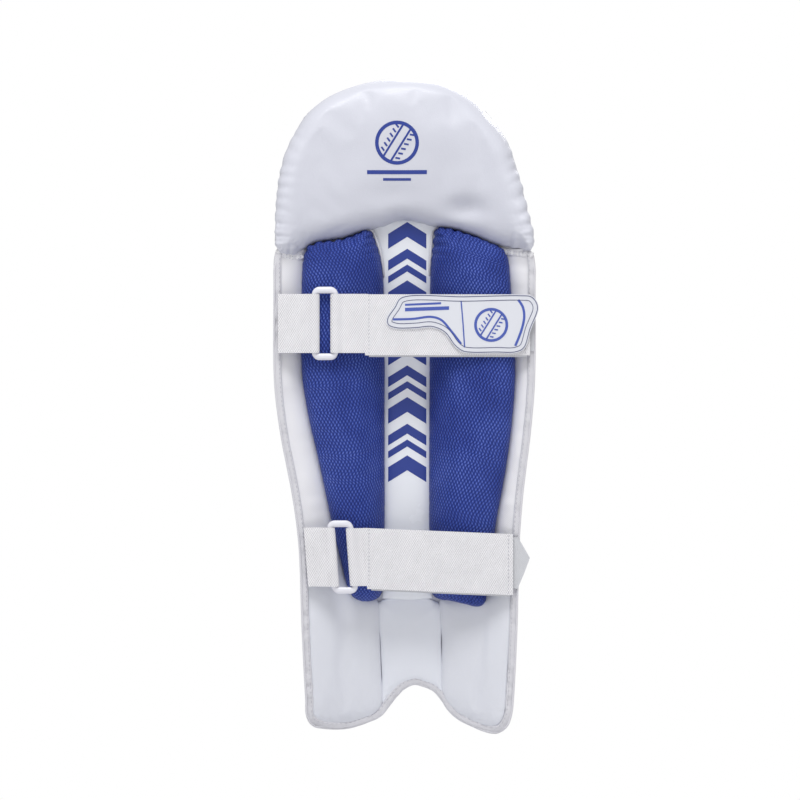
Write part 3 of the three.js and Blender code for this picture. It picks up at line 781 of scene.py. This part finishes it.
def make_top_hat_cushion():
    def dome(x, z):
        return 7.5 * (1 - ((z - 612) / 105) ** 2) - 2.5 * (x / 125) ** 2

    outline = [crowned(x, z) for x, z in HAT]
    piece, grid = pillow("top_hat_cushion", outline,
                         [(-128, 484), (127, 485), crowned(82, 619), crowned(-98, 620)],
                         96, 76, 24, 24, dome=dome)
    inflate(piece, grid, 3.5, 0.02, 6)

    side_pleats = dict(wavelength=13.0, wander=2.6, seed=5)
    seam_gathers = dict(wavelength=6.0, wander=1.8, seed=9)
    hollows = ((8.5, 60, 19, 527, 11), (2.2, -14, 34, 541, 12), (1.6, -52, 20, 590, 30),
               (2.4, 42, 12, 566, 24))  # depth, then place and reach across, place and reach up

    def side_share(x, z):
        return np.clip((np.abs(x) - 96) / 14, 0, 1) * np.clip((615 - z) / 30, 0, 1)

    def low_share(z):
        return np.clip((530 - z) / 25, 0, 1)

    def folds(x, z, reach, spot):
        pleats = ridges(spot, x, z, **side_pleats) * np.exp(-reach / 9)
        corner = np.exp(-(((np.abs(x) - 118) / 22) ** 2 + ((z - 492) / 20) ** 2))
        creases = ridges(spot, x, z, 6.5, 2.4, 8) * np.exp(-reach / 15)
        seam = ridges(spot, x, z, **seam_gathers) * np.exp(-reach / 5)
        dimple = sum(depth * np.exp(-(((x - px) / wide) ** 2 + ((z - pz) / tall) ** 2))
                     for depth, px, wide, pz, tall in hollows)
        soft = noise(x, z, 46, 2) * 1.7 + noise(x, z, 21, 3) * 0.55
        return (soft - dimple - 6.0 * side_share(x, z) * pleats - 5.5 * corner * creases
                - 2.6 * low_share(z) * seam)

    def scallop(x, z, reach, spot):
        pleats = 2.8 * side_share(x, z) * ridges(spot, x, z, **side_pleats)
        return (pleats + 1.5 * low_share(z) * ridges(spot, x, z, **seam_gathers)) * np.exp(-reach / 5)

    wrinkle(piece, grid, folds, scallop)
    subdivide(piece)
    finish_piece(piece, None, WHITE,
                 ["top_hat_cushion_cover", "top_hat_cushion_core"])
    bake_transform(piece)
    return piece


INSTEP = {
    "left": ([(-91, 16), (-84, 10.8), (-68, 8), (-56, 8.5), (-41, 12.5), (-29, 19), (-23.3, 27),
              (-24.0, 60), (-25.6, 100), (-27.6, 132), (-45, 138), (-58, 150), (-66, 180), (-73, 202),
              (-86, 207), (-98, 206), (-99.5, 185), (-98, 150), (-97, 110), (-94, 50)],
             [(-91, 16), (-29, 19), (-73, 202), (-98, 206)], 8),
    "centre": ([(-22.7, 28), (-15, 35.5), (-4, 46), (9, 51.5), (22, 48.5), (33, 42), (37.6, 37),
                (36.8, 90), (35.4, 128), (20, 134), (5, 135), (-12, 134), (-26.6, 130), (-25.0, 90),
                (-23.4, 55)],
               [(-22.7, 28), (37.6, 37), (35.4, 128), (-26.6, 130)], 5),
    "right": ([(38.4, 36), (45, 26.5), (55, 17), (68, 10.5), (83, 6), (92, 7.5), (98.5, 15), (103, 60),
               (106, 110), (107, 150), (108, 180), (108, 197), (99, 199), (91, 196), (88, 176),
               (84, 145), (70, 138), (50, 136), (36.3, 134), (37.5, 90)],
              [(38.4, 36), (98.5, 15), (108, 197), (36.3, 134)], 8),
}


def make_instep():
    for side, (outline, corners, rise) in INSTEP.items():
        piece, grid = pillow(f"instep_{side}", outline, corners, 38, 70, rise, 15, lip=1.8)
        inflate(piece, grid, 2.5, 0.01, 3)

        def folds(x, z, reach, spot, seed=len(side)):
            foot = np.clip((34 - z + 0.25 * (x > -20) * (x < 40) * 60) / 22, 0, 1)
            pleats = ridges(spot, x, z, 9.0, 2.8, seed) * np.exp(-reach / 6)
            soft = noise(x, z, 38, seed) * 0.9 + noise(x, z, 17, seed + 2) * 0.25
            return soft - 3.2 * foot * pleats

        wrinkle(piece, grid, folds)
        subdivide(piece)
        # The centre panel takes the lighter copy of the PU, painted light against the strap's shade.
        finish_piece(piece, "root", INSTEP_CENTRE_LIT if side == "centre" else INSTEP_PU,
                     [f"instep_{side}_cover", f"instep_{side}_core"])


# ---- Channel, linings and bindings ----
def make_channel():
    v = clustered(120)[:, None]
    u = np.linspace(-1, 1, 26)[None, :]
    low, high = 131.5 + 2.5 * u**2, 518.5 - 4 * u**2
    z = low + (high - low) * v
    half = 25 + 11 * np.clip((z - 440) / 60, 0, 1) ** 2
    x = 2.3 + half * u
    ends = end_fall(v, 0.03)
    swell = 1.2 + (5.8 * (1 - np.abs(u) ** 3) + 0.5 * noise(x, z, 30, 21)) * ends
    piece = closed_form("channel_panel_cover", layer(x, z, -1.6 - swell), layer(x, z, -1.2), sharp=60)
    # Its material is lightened, as painted light, against the shade between the bolsters.
    return finish_piece(piece, "root", CHANNEL_LIT, ["channel_panel"])


def make_linings():
    for side, sign in (("left", -1), ("right", 1)):
        bolster = smooth([(212, -72), (269, -84), (327, -97), (365, -102), (451, -102), (484, -98)]
                         if sign < 0 else
                         [(212, 90), (269, 100), (327, 107), (365, 109), (444, 105), (484, 99)])
        z = np.linspace(196, KNEE - 0.5, 120)[:, None]
        rim_x = (left_edge(z) + 4) if sign < 0 else (right_edge(z) - 4)
        u = np.linspace(0, 1, 18)[None, :]
        x = rim_x + (bolster(z) - rim_x) * u
        belly = np.sin(np.pi * u) ** 0.5
        creases = 0.7 * noise(x * 0.3, z, 8, 31 + sign) + 0.9 * noise(x, z, 26, 35 + sign)
        face = layer(x, z, -3.4 - 3.0 * np.sin(np.pi * u) - creases * belly)
        piece = closed_form(f"side_lining_{side}_cloth", face, layer(x, z, -1.4), sharp=60)
        finish_piece(piece, "root", NYLON, [f"side_lining_{side}"])


def make_back_liner():
    """The thin lining that covers the board behind every pad."""
    s = np.linspace(-0.985, 0.985, 60)[None, :]
    v = np.linspace(0, 1, 90)[:, None]
    low = foot_edge(middle(10) + s * half_width(10)) + 1.5
    z = low + v * (KNEE - 6 - low)
    x = middle(z) + s * half_width(z)
    face = layer(x, z, -1.3 - 0.25 * noise(x, z, 20, 27))
    piece = closed_form("back_liner", face, layer(x, z, -0.3), sharp=60)
    finish_piece(piece, "root", WHITE)


def make_bindings():
    edge = [(left_edge(KNEE) + 9.5, KNEE - 1.5), (left_edge(KNEE) + 5.2, KNEE - 3.5)]
    edge += [(left_edge(z) + 3.4, z) for z in np.linspace(KNEE - 9, 34, 18)]
    edge += [(-95.2, 20), (-91.0, 12.2)]
    edge += [(x, foot_edge(x) + 3.4) for x in (-83, -68, -56, -40, -27, -19, -11, -2, 9, 20, 31, 40,
                                              47, 56, 68, 82, 92)]
    edge += [(99.5, 10.2), (103.4, 21)]
    edge += [(right_edge(z) - 3.4, z) for z in np.linspace(36, KNEE - 11, 18)]
    edge += [(right_edge(KNEE) - 5.2, KNEE - 5.5), (right_edge(KNEE) - 9.5, KNEE - 3.5)]
    line = rounded_line(edge, step=1.8)
    outward = -sideways(line)
    pucker = np.clip((90 - line[:, 1]) / 40, 0.25, 1) * noise(line[:, 0], line[:, 1], 6, 78)
    ripple = 0.9 * noise(line[:, 0], line[:, 1], 7, 77) + 0.8 * pucker
    path = layer(*line.T, -3.4 - ripple)
    path[:, ::2] += outward * 0.7 * pucker[:, None]
    piece = sweep("edge_binding", path, rounded_section(5.4, 7.4, 2.3))
    finish_piece(piece, "root", BINDING,
                 ["edge_binding_left", "edge_binding_right", "bottom_binding"])
    taper = np.clip((line[:, 1:] - KNEE + 24) / 14, 0, 1) ** 2
    outer = (line + outward * (3.1 - 3.0 * taper))[line[:, 1] < KNEE - 9]
    wrap = sweep("edge_wrap", layer(*outer.T, 1.2), rounded_section(11.4, 2.2, 1.0))
    finish_piece(wrap, "root", BINDING)
    lap = (line + outward * 0.6)[line[:, 1] < KNEE - 14]
    fold = sweep("edge_front_fold", layer(*lap.T, BOARD + 1.5), rounded_section(2.2, 7.2, 0.9))
    finish_piece(fold, "root", BINDING)
    inner = (line - outward * 1.9)[2:-2]
    stitches("edge_binding_stitches", inner, surface_of(piece), pitch=4.6, length=3.0, width=1.1)


def make_flex_hems():
    """Short gathered hems where the side linings meet the cushion's corners."""
    for side, line in (("left", [(-127.5, 485), (-120, 480), (-112, 477.5), (-103, 480)]),
                       ("right", [(82, 489.5), (96, 485.5), (112, 482), (128, 480)])):
        line = rounded_line(line, step=0.9)
        along = np.arange(len(line))
        wobble = 0.8 * np.sin(along * 1.15 + 2 * noise(line[:, 0], line[:, 1], 7, 3))
        path = layer(*line.T, -4.6 - 0.6 * wobble)
        path[:, 2] += 0.35 * wobble
        piece = sweep(f"flex_hem_{side}", path, rounded_section(4.4, 6.0, 2.0))
        finish_piece(piece, "root", NYLON)
        for k, offset in enumerate((-1.3, 1.3)):
            stitches(f"flex_hem_{side}_stitches_{k + 1}", line[3:-3] + (0, offset), surface_of(piece),
                     pitch=3.0, length=1.9, width=0.6)


# ---- Front of the pad ----
def skin_point(x, z, rise):
    """A point at a height above the front of the board, measured square to the curved sheet."""
    step = 0.5
    slope = (sheet(x + step, z) - sheet(x - step, z)) / (2 * step)
    scale = 1 / np.sqrt(1 + slope**2)
    point = layer(x, z, BOARD + 1.0 + scale * rise)
    point[..., 0] -= slope * scale * rise
    return point


def end_fall(v, reach):
    t = np.clip(np.minimum(v, 1 - v) / reach, 0, 1)
    return np.sqrt(np.clip(1 - (1 - t) ** 2.2, 0, 1))


def make_front():
    s = np.linspace(-1, 1, ROLLS * 14 + 1)[None, :]
    v = clustered(170)[:, None]
    low = foot_edge(middle(10) + s * half_width(10))
    z = low + v * (ROLL_TOP - low)
    x = middle(z) + s * (half_width(z) - FRONT_INSET)
    t = s * ROLLS - 2 * np.round(s * ROLLS / 2)
    roll = (1 - np.abs(t) ** 2.3) ** 0.55
    soft = 1.0 * noise(x, z, 30, 41) + 0.5 * noise(x * 0.5, z, 11, 42)
    gathers = 1.5 * np.sin(z / 2.0 + 2.5 * noise(x, z, 20, 43)) * (1 - roll) * (roll > 0)
    rise = 2.2 + (15.5 * roll + soft * roll + gathers) * (0.12 + 0.88 * end_fall(v, 0.07))
    face = skin_point(x, z, rise)
    back = skin_point(x, z, 0 * rise)
    piece = closed_form("front_cover_rolls", face, back)
    finish_piece(piece, "root", WHITE,
                 ["front_cover"] + [f"shin_roll_core_{n}" for n in range(1, ROLLS + 1)])
    height = surface_of(piece, away=1)
    for n in range(1, ROLLS):
        share = 2 * n / ROLLS - 1
        heights = np.linspace(62, ROLL_TOP - 9, 12)
        seam = [(middle(h) + share * (half_width(h) - FRONT_INSET), h) for h in heights]
        stitches(f"roll_seam_{n}_stitches", seam, height, pitch=4.6, length=3.2, width=0.9)


def make_knee_rolls():
    for number, low, high, body in ((1, 438, 484, "root"), (2, 490, 531, "top_hat"),
                                    (3, 532, 572, "top_hat")):
        s = np.sin(np.linspace(-1, 1, 90) * np.pi / 2)[None, :] * 0.999
        t = np.linspace(-1, 1, 26)[:, None]
        z = (low + high) / 2 + t * (high - low) / 2
        x = middle(z) + s * (half_width(z) - FRONT_INSET - 0.5)
        roll = (1 - np.abs(t) ** 2.2) ** 0.5 * (1 - np.abs(s) ** 14) ** 0.6
        edge = np.exp(-(1 - np.abs(t)) / 0.25)
        crease = (0.9 * noise(x, z * 0.4, 16, 50 + number)
                  - 2.0 * edge * ridges(x, x, z, 11, 2.5, 53 + number))
        face = skin_point(x, z, 2.0 + (22 + crease) * roll)
        back = skin_point(x, z, 0 * roll)
        piece = closed_form(f"knee_roll_{number}", face, back)
        finish_piece(piece, body, WHITE,
                     [f"knee_roll_cover_{number}", f"knee_roll_core_{number}"])


HAT_FRONT = [
    (-119, 574), (-60, 573.5), (0, 573.5), (60, 573.5), (109, 574), (105, 587), (95, 603), (81, 619),
    (66, 634), (50, 644), (32, 651), (2, TOP), (-20, 654), (-39, 650.5), (-62, 643), (-80, 634),
    (-98, 619), (-109, 603), (-117, 588)]


def make_top_hat_front():
    outline = [(x * 0.985 - 0.1, HAT_FRONT_LOW + (z - HAT_FRONT_LOW) * 0.97) for x, z in HAT_FRONT]
    corners = [(-117.2, HAT_FRONT_LOW), (107.3, HAT_FRONT_LOW), (65, 632), (-79, 632)]
    piece, grid = pillow("top_hat_front", outline, corners, 60, 34, 15, 18, out=1, seat=BOARD + 1)
    inflate(piece, grid, 2.5, 0.01, 3)
    wrinkle(piece, grid, lambda x, z, reach, spot: noise(x, z, 40, 61)
            - 1.2 * ridges(spot, x, z, 12, 2, 62) * np.exp(-reach / 8))
    subdivide(piece)
    finish_piece(piece, "top_hat", WHITE,
                 ["top_hat_front_cover", "top_hat_front_core"])


def make_hat_piping():
    low, high = 494.5, TOP - 2.5
    z = high - (high - low) * (1 - np.sin(np.linspace(0, 1, 30) * np.pi / 2))
    left = [crowned(left_edge(h) + 2.8, h, 0.4) for h in z]
    right = [crowned(right_edge(h) - 2.8, h, 0.4) for h in z[::-1]]
    line = rounded_line(left + right[1:], step=3)
    piece = sweep("top_hat_piping_cord", layer(*line.T, 2.4), rounded_section(7.4, 6.2, 2.2))
    finish_piece(piece, "top_hat", BINDING, ["top_hat_piping"])


def make_flex_gusset():
    """Cloth that bridges the flex line behind the rolls and under the cushion's lip."""
    s = np.linspace(-0.975, 0.975, 60)[None, :]
    z = np.linspace(KNEE - 22, KNEE + 20, 24)[:, None]
    x = middle(z) + s * half_width(z)
    tuck = -1.3 * np.cos((z - KNEE) / 14 * np.pi) * np.exp(-((z - KNEE) / 12) ** 2)
    back = layer(x, z, BOARD + 1.4 + tuck)
    piece = closed_form("knee_flex_gusset", layer(x, z, -0.9 + tuck), back, sharp=60)
    finish_piece(piece, None, NYLON)
    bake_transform(piece)


# ---- Straps ----
def leaned(points, strap):
    """Leans the ring end of a strap and lets the strap run down towards its free end."""
    p = np.array(points, float)
    fade = np.clip((60 - p[..., 0]) / (60 - STRAP_TURN), 0, 1)
    x = p[..., 0] - strap["lean"] * fade * (p[..., 2] - strap["z"])
    z = p[..., 2] - strap["drop"] * np.maximum(p[..., 0] - STRAP_TURN, 0)
    return np.stack([x, p[..., 1], z], -1)


def strap_rows(strap, width):
    """Heights across a strap, from its lower selvedge to its upper one."""
    return strap["z"] + np.linspace(-1, 1, WEB_ROWS)[:, None] * width / 2


def webbing(name, line, width, thickness, edge, strap, ripple=0.0, sag=0.0, sharp=55):
    """Webbing along a centreline of (x, y), with rounded selvedges."""
    selvedge = np.abs(np.linspace(-1, 1, WEB_ROWS)[:, None]) ** 12
    thin = thickness / 2 * (1 - edge * selvedge)
    normal = -sideways(line)
    faces = []
    for sign in (1, -1):
        shift = sign * thin + ripple
        x = line[:, 0] + normal[:, 0] * shift
        y = line[:, 1] + normal[:, 1] * shift - sag
        faces.append(leaned(np.stack(np.broadcast_arrays(x, y, strap_rows(strap, width)), -1), strap))
    return closed_form(name, *faces, sharp=sharp)


def tape(name, centre, width, thickness, strap):
    """A flat run of webbing with a faint ripple."""
    centre = rounded_line(centre)
    ripple = 0.45 * noise(centre[:, 0], strap_rows(strap, width) * 0.6, 18, 71)
    return webbing(name, centre, width, thickness, 0.35, strap, ripple=ripple)


def looped(name, bar, tail, strap, width=59.0):
    """Webbing that goes round a bar and lies back on itself to its tail."""
    ply, bore, slack = 1.4, 3.1, 1.4
    bar, tail = np.array(bar, float), np.array(tail, float)
    reach = np.linalg.norm(tail - bar)
    way = (tail - bar) / reach
    across = np.array([-way[1], way[0]])
    radius = bore + ply / 2
    start = 0.55 * math.acos(ply / 2 / radius * 0.98)
    turn = [bar - math.cos(a) * across * radius - math.sin(a) * way * (radius + slack / 2)
            for a in np.linspace(-start, math.pi + start, 22)]
    gap = ply / 2 + 0.06
    far = [bar + way * d - across * gap for d in np.linspace(reach, 7, 8)]
    near = [bar + way * d + across * gap for d in np.linspace(7, reach, 8)]
    line = rounded_line(far + turn + near, step=0.9)
    z = strap_rows(strap, width)
    loose = np.clip((np.linalg.norm(line - bar, axis=1) - 6) / 9, 0, 1)
    crease = 0.6 * noise(line[:, 0] + 0.25 * z, z * 0.35, 11, 81) * loose
    return webbing(name, line, width, ply, 0.3, strap, sag=crease, sharp=70)


def make_ring(level, strap):
    """A moulded rectangular ring with round bars and deeper ends."""
    centre_x = strap["bar"] + RING_SPAN / 2
    path, thick = [], []
    for a, x, z in corner_arcs(RING_SPAN, RING_HEIGHT, 5.0, 8):
        path.append((centre_x + x, strap["y"], strap["z"] + z))
        thick.append(2.75 + 0.65 * math.sin(a) ** 2)
    round_bar = circle((0, 0), 1.0, 20)[:, ::-1]
    section = round_bar * np.stack([np.full(len(thick), 2.5), thick], 1)[:, None]
    piece = sweep(f"{level}_ring_frame", leaned(path, strap), section, closed=True)
    finish_piece(piece, f"{level}_ring", PLASTIC, [f"{level}_ring"])


def seam_on(name, height, x, middle_z, body):
    """One upright row of stitches, from 31 mm below a height to 29 mm above it."""
    stitches(name, [(x, middle_z - 31), (x, middle_z + 29)], height, pitch=3.8, length=2.7,
             width=1.0, lift=0.45, body=body)


def make_strap(level, strap):
    y, seam, end, body = strap["y"], strap["seam"], strap["end"], f"{level}_strap"
    anchor = looped(f"{level}_anchor", (strap["bar"], y), (strap["anchor"], y + 1.6), strap)
    finish_piece(anchor, "root", WEBBING, [f"{level}_anchor_webbing"])
    make_ring(level, strap)
    fold = looped(f"{level}_fold", (strap["bar"] + RING_SPAN, y), (seam, y), strap,
                  width=59.0 - 30 * strap["drop"])
    finish_piece(fold, body, WEBBING, [f"{level}_fold_webbing"])
    outer = tape(f"{level}_strap_face",
                 [(seam - 3, y - 0.9), (seam + 8, y - 1.0), (20, y - 1.1), (60, y - 0.6), (end, y - 0.1)],
                 STRAP_WIDTH - 1, 1.2, dict(strap, z=strap["z"] - 1.4))
    finish_piece(outer, body, WEBBING, [f"{level}_strap_webbing"])
    under = tape(f"{level}_strap_back",
                 [(seam + 1, y + 1.4), (0, y + 0.6), (60, y + 0.8), (end - 3, y + 1.2)],
                 STRAP_WIDTH - 0.6, 1.1, dict(strap, z=strap["z"] - 2.8))
    finish_piece(under, body, HOOK)
    height = surface_of(outer)
    seam_on(f"{level}_seam_stitches", height, seam + 1.0, strap["z"], body)
    end_z = strap["z"] - strap["drop"] * (end - STRAP_TURN)
    seam_on(f"{level}_end_stitches", height, end - 4.5, end_z, body)


TAB = [(-4, 438), (-11, 428), (-18.5, 416), (-17.5, 409.5), (-9, 406), (10, 406), (27, 407.2),
       (39, 402), (49, 389), (57, 383), (66, 381.5), (90, 381.7), (111, 382), (119.5, 386.5),
       (126, 406), (133.5, 426), (131.5, 434), (126, 439.3), (116, 440.3), (60, 439.3)]


def inset(outline, distance):
    """The same closed outline, moved inwards."""
    return outline + sideways(outline, closed=True) * distance


def ribbon(centre, width):
    """A closed outline of a line with a width."""
    line = np.array(centre, float)
    across = sideways(line) * width / 2
    return np.vstack([line + across, (line - across)[::-1]])


def print_on(name, outline, height, body, ink, holes=(), step=3.0):
    """A thin printed shape that lies on a surface."""
    piece = flat_shape(name, outline, holes=holes, thickness=PRINT_THICK, step=step)
    lay_on(piece, height)
    finish_piece(piece, body, ink)


def make_tab():
    outline = rounded_line(TAB, closed=True, step=2.5)[::-1]
    plate = flat_shape("upper_tab", outline, thickness=1.5, y=STRAP_UP["y"] - 3.2)
    soften = plate.modifiers.new("soft", "BEVEL")
    soften.width, soften.segments, soften.limit_method = 0.5 * MM, 3, "ANGLE"
    apply_modifiers(plate)
    finish_piece(plate, "upper_strap", INSTEP_PU, ["upper_tab_plate"])
    height = surface_of(plate)
    around = rounded_line(TAB, closed=True)
    for name, gap, width in (("tab_outer_line", 0.9, 0.7), ("tab_inner_line", 5.4, 0.6)):
        print_on(name, inset(around, gap), height, "upper_strap", FINE_INK,
                 holes=[inset(around, gap + width)], step=0)
    low_curve = rounded_line([(-12, 415.5), (8, 416), (26, 418), (36, 415), (46, 404), (56, 391)])
    arc = rounded_line([(113, 435), (117.5, 428), (119, 418), (116, 404), (110, 389)])
    shapes = [("tab_swoosh", ribbon(low_curve, 2.2)),
              ("tab_divider", ribbon([(56, 434), (58, 410), (59.5, 387.5)], 1.3)),
              ("tab_arc", ribbon(arc, 2.4))]
    for k, (low, high, end) in enumerate(((423.5, 427, 44), (429, 431, 36))):
        bar = [(0, low), (end, low + 1.6), (end, high + 1.6), (0, high)]
        shapes.append((f"tab_bar_{k + 1}", bar))
    for name, shape in shapes:
        print_on(name, shape, height, "upper_strap", TAB_INK)
    draw_ball("tab_ball", (86, 410), 17.0, height, "upper_strap", TAB_INK)


def circle(centre, radius, count=48):
    a = np.linspace(0, 2 * np.pi, count, endpoint=False)
    return np.stack([centre[0] + radius * np.cos(a), centre[1] + radius * np.sin(a)], 1)


def draw_ball(name, centre, radius, height, body, ink):
    """A generic ball mark: a ring crossed by a slanted seam between two rows of stitches."""
    print_on(f"{name}_ring", circle(centre, radius), height, body, ink,
             holes=[circle(centre, radius * 0.84)])
    tilt = math.radians(58)
    way = np.array([math.cos(tilt), math.sin(tilt)])
    side = np.array([-way[1], way[0]])
    for k, offset in enumerate((-0.2, 0.2)):
        reach = radius * 0.86 * math.sqrt(1 - offset**2)
        ends = [np.array(centre) + side * offset * radius + way * t * reach for t in (-1, -0.5, 0, 0.5, 1)]
        print_on(f"{name}_seam_{k + 1}", ribbon(ends, radius * 0.09), height, body, ink)
    for k, t in enumerate(np.linspace(-0.62, 0.62, 6)):
        mid = np.array(centre) + way * t * radius
        for j, sign in enumerate((-1, 1)):
            a = mid + side * sign * radius * 0.3
            b = mid + side * sign * radius * 0.5 + way * radius * 0.08
            print_on(f"{name}_stitch_{k + 1}_{j + 1}", ribbon([a, (a + b) / 2, b], radius * 0.08),
                     height, body, ink, step=0)


def make_prints(cushion, channel):
    height = surface_of(cushion)
    draw_ball("hat_ball", (-8, 593), 22.0, height, "top_hat", INK)
    for name, left, right, low, high in (("hat_bar", -38, 22, 561.5, 565.5),
                                         ("hat_bar_short", -22, 6, 555, 557.6)):
        bar = [(left, low), (right, low), (right, high), (left, high)]
        print_on(name, bar, height, "top_hat", INK)
    height = surface_of(channel)
    z, rise = 252.0, 12.0
    for k in range(13):
        thick, gap = ((15.0, 9.0), (7.0, 6.0), (10.0, 12.0))[k % 3]
        chevron = [(-17, z), (2.3, z + rise), (21.6, z),
                   (21.6, z + thick), (2.3, z + rise + thick), (-17, z + thick)]
        print_on(f"channel_chevron_{k + 1}", chevron, height, "root", INK)
        z += thick + gap


def make_patches():
    """Hook and loop tape at the straps' closing ends, and the pointed pull tab."""
    corners = [(101, 384), (122, 384), (122, 436), (101, 436)]
    hook = flat_shape("upper_hook", corners, thickness=0.9, y=STRAP_UP["y"] + 2.0)
    finish_piece(hook, "upper_strap", HOOK, ["upper_hook_patch"])
    corners = [(88, 195), (100, 197), (113, 198), (117, 191), (125, 177), (119, 161), (112.5, 146),
               (100, 148), (88, 150)]
    pull = flat_shape("lower_pull", corners, thickness=0.9, y=STRAP_LOW["y"] + 2.6)
    finish_piece(pull, "lower_strap", HOOK, ["lower_pull_tab"])
    for level, low, high, reach, inner_y in (("upper", 384, 436, 0.88, -36.5),
                                             ("lower", 148, 194, 0.93, -42.9)):
        z = np.linspace(low, high, 20)[:, None]
        s = np.linspace(reach, 0.993, 14)[None, :]
        x = middle(z) + s * half_width(z)
        y = np.interp(s, [reach, 0.955, 0.993], [inner_y, -43.3, -43.4])
        face = np.stack(np.broadcast_arrays(x, y, z), -1)
        piece = closed_form(f"{level}_loop", face, face + (0, 0.9, 0), sharp=60)
        finish_piece(piece, "root", HOOK, [f"{level}_loop_patch"])


def dress_frame():
    """Materials for the CAD nodes that stay."""
    for node in ("shin_board", "top_hat_board"):
        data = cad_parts[node].data
        data.materials.clear()
        data.materials.append(FIBRE)


# ---- Stage ----
def white_to_camera(tree, lit, glow_type, output):
    """Lets the lit shader light the object, while the camera sees the floor or backdrop plain white."""
    glow = tree.nodes.new(glow_type)
    glow.inputs["Color"].default_value = (1, 1, 1, 1)
    glow.inputs["Strength"].default_value = 1.0
    path = tree.nodes.new("ShaderNodeLightPath")
    blend = tree.nodes.new("ShaderNodeMixShader")
    for socket, source in zip(blend.inputs, (path.outputs["Is Camera Ray"], lit, glow.outputs[0])):
        tree.links.new(source, socket)
    tree.links.new(blend.outputs[0], tree.nodes[output].inputs["Surface"])


def lamp(name, place, aim, size_m, power):
    light = bpy.data.lights.new(name, "AREA")
    light.shape, light.size, light.energy = "DISK", size_m, power
    holder = link(name, light)
    holder.location = place
    holder.rotation_euler = (Vector(aim) - Vector(place)).to_track_quat("-Z", "Y").to_euler()


def make_stage():
    half, level = 30.0, -0.0005
    data = bpy.data.meshes.new("floor")
    corners = [(x, y, level) for x, y in ((-half, -half), (half, -half), (half, half), (-half, half))]
    data.from_pydata(corners, [], [(0, 1, 2, 3)])
    floor = link("floor", data)
    shade = Shade("floor", (0.86, 0.86, 0.87), 0.9, specular=0.1)
    shade.tint(shade.noise(2, 2), (0.99, 0.99, 0.99))
    white_to_camera(shade.tree, shade.shader.outputs[0], "ShaderNodeEmission", "Material Output")
    data.materials.append(shade.material)
    world = bpy.data.worlds.new("studio")
    bpy.context.scene.world = world
    world.use_nodes = True
    background = world.node_tree.nodes["Background"]
    background.inputs["Color"].default_value = (1, 1, 1, 1)
    background.inputs["Strength"].default_value = 0.58
    white_to_camera(world.node_tree, background.outputs[0], "ShaderNodeBackground", "World Output")
    lamp("key_from_above", (-0.15, -1.28, 2.42), (0, 0, 0.33), 1.1, 35)
    lamp("fill_behind", (0.5, 1.7, 1.7), (0, 0, 0.35), 1.2, 22)


def make_camera():
    camera = bpy.data.cameras.new("camera")
    distance, frame_width, plane = 3.2, 0.8, -0.045
    camera.sensor_width = 36
    camera.lens = camera.sensor_width * distance / frame_width
    holder = link("camera", camera)
    holder.location = (-0.005, plane - distance, 0.335)
    holder.rotation_euler = (math.pi / 2, 0, 0)
    bpy.context.scene.camera = holder
    bpy.context.scene.view_settings.view_transform = "Standard"


make_camera()
make_stage()
dress_frame()
make_bolsters()
hat_cushion = make_top_hat_cushion()
make_instep()
channel_panel = make_channel()
make_linings()
make_back_liner()
make_bindings()
make_flex_hems()
make_front()
make_knee_rolls()
make_top_hat_front()
make_hat_piping()
make_flex_gusset()
make_strap("upper", STRAP_UP)
make_strap("lower", STRAP_LOW)
make_tab()
make_patches()
make_prints(hat_cushion, channel_panel)
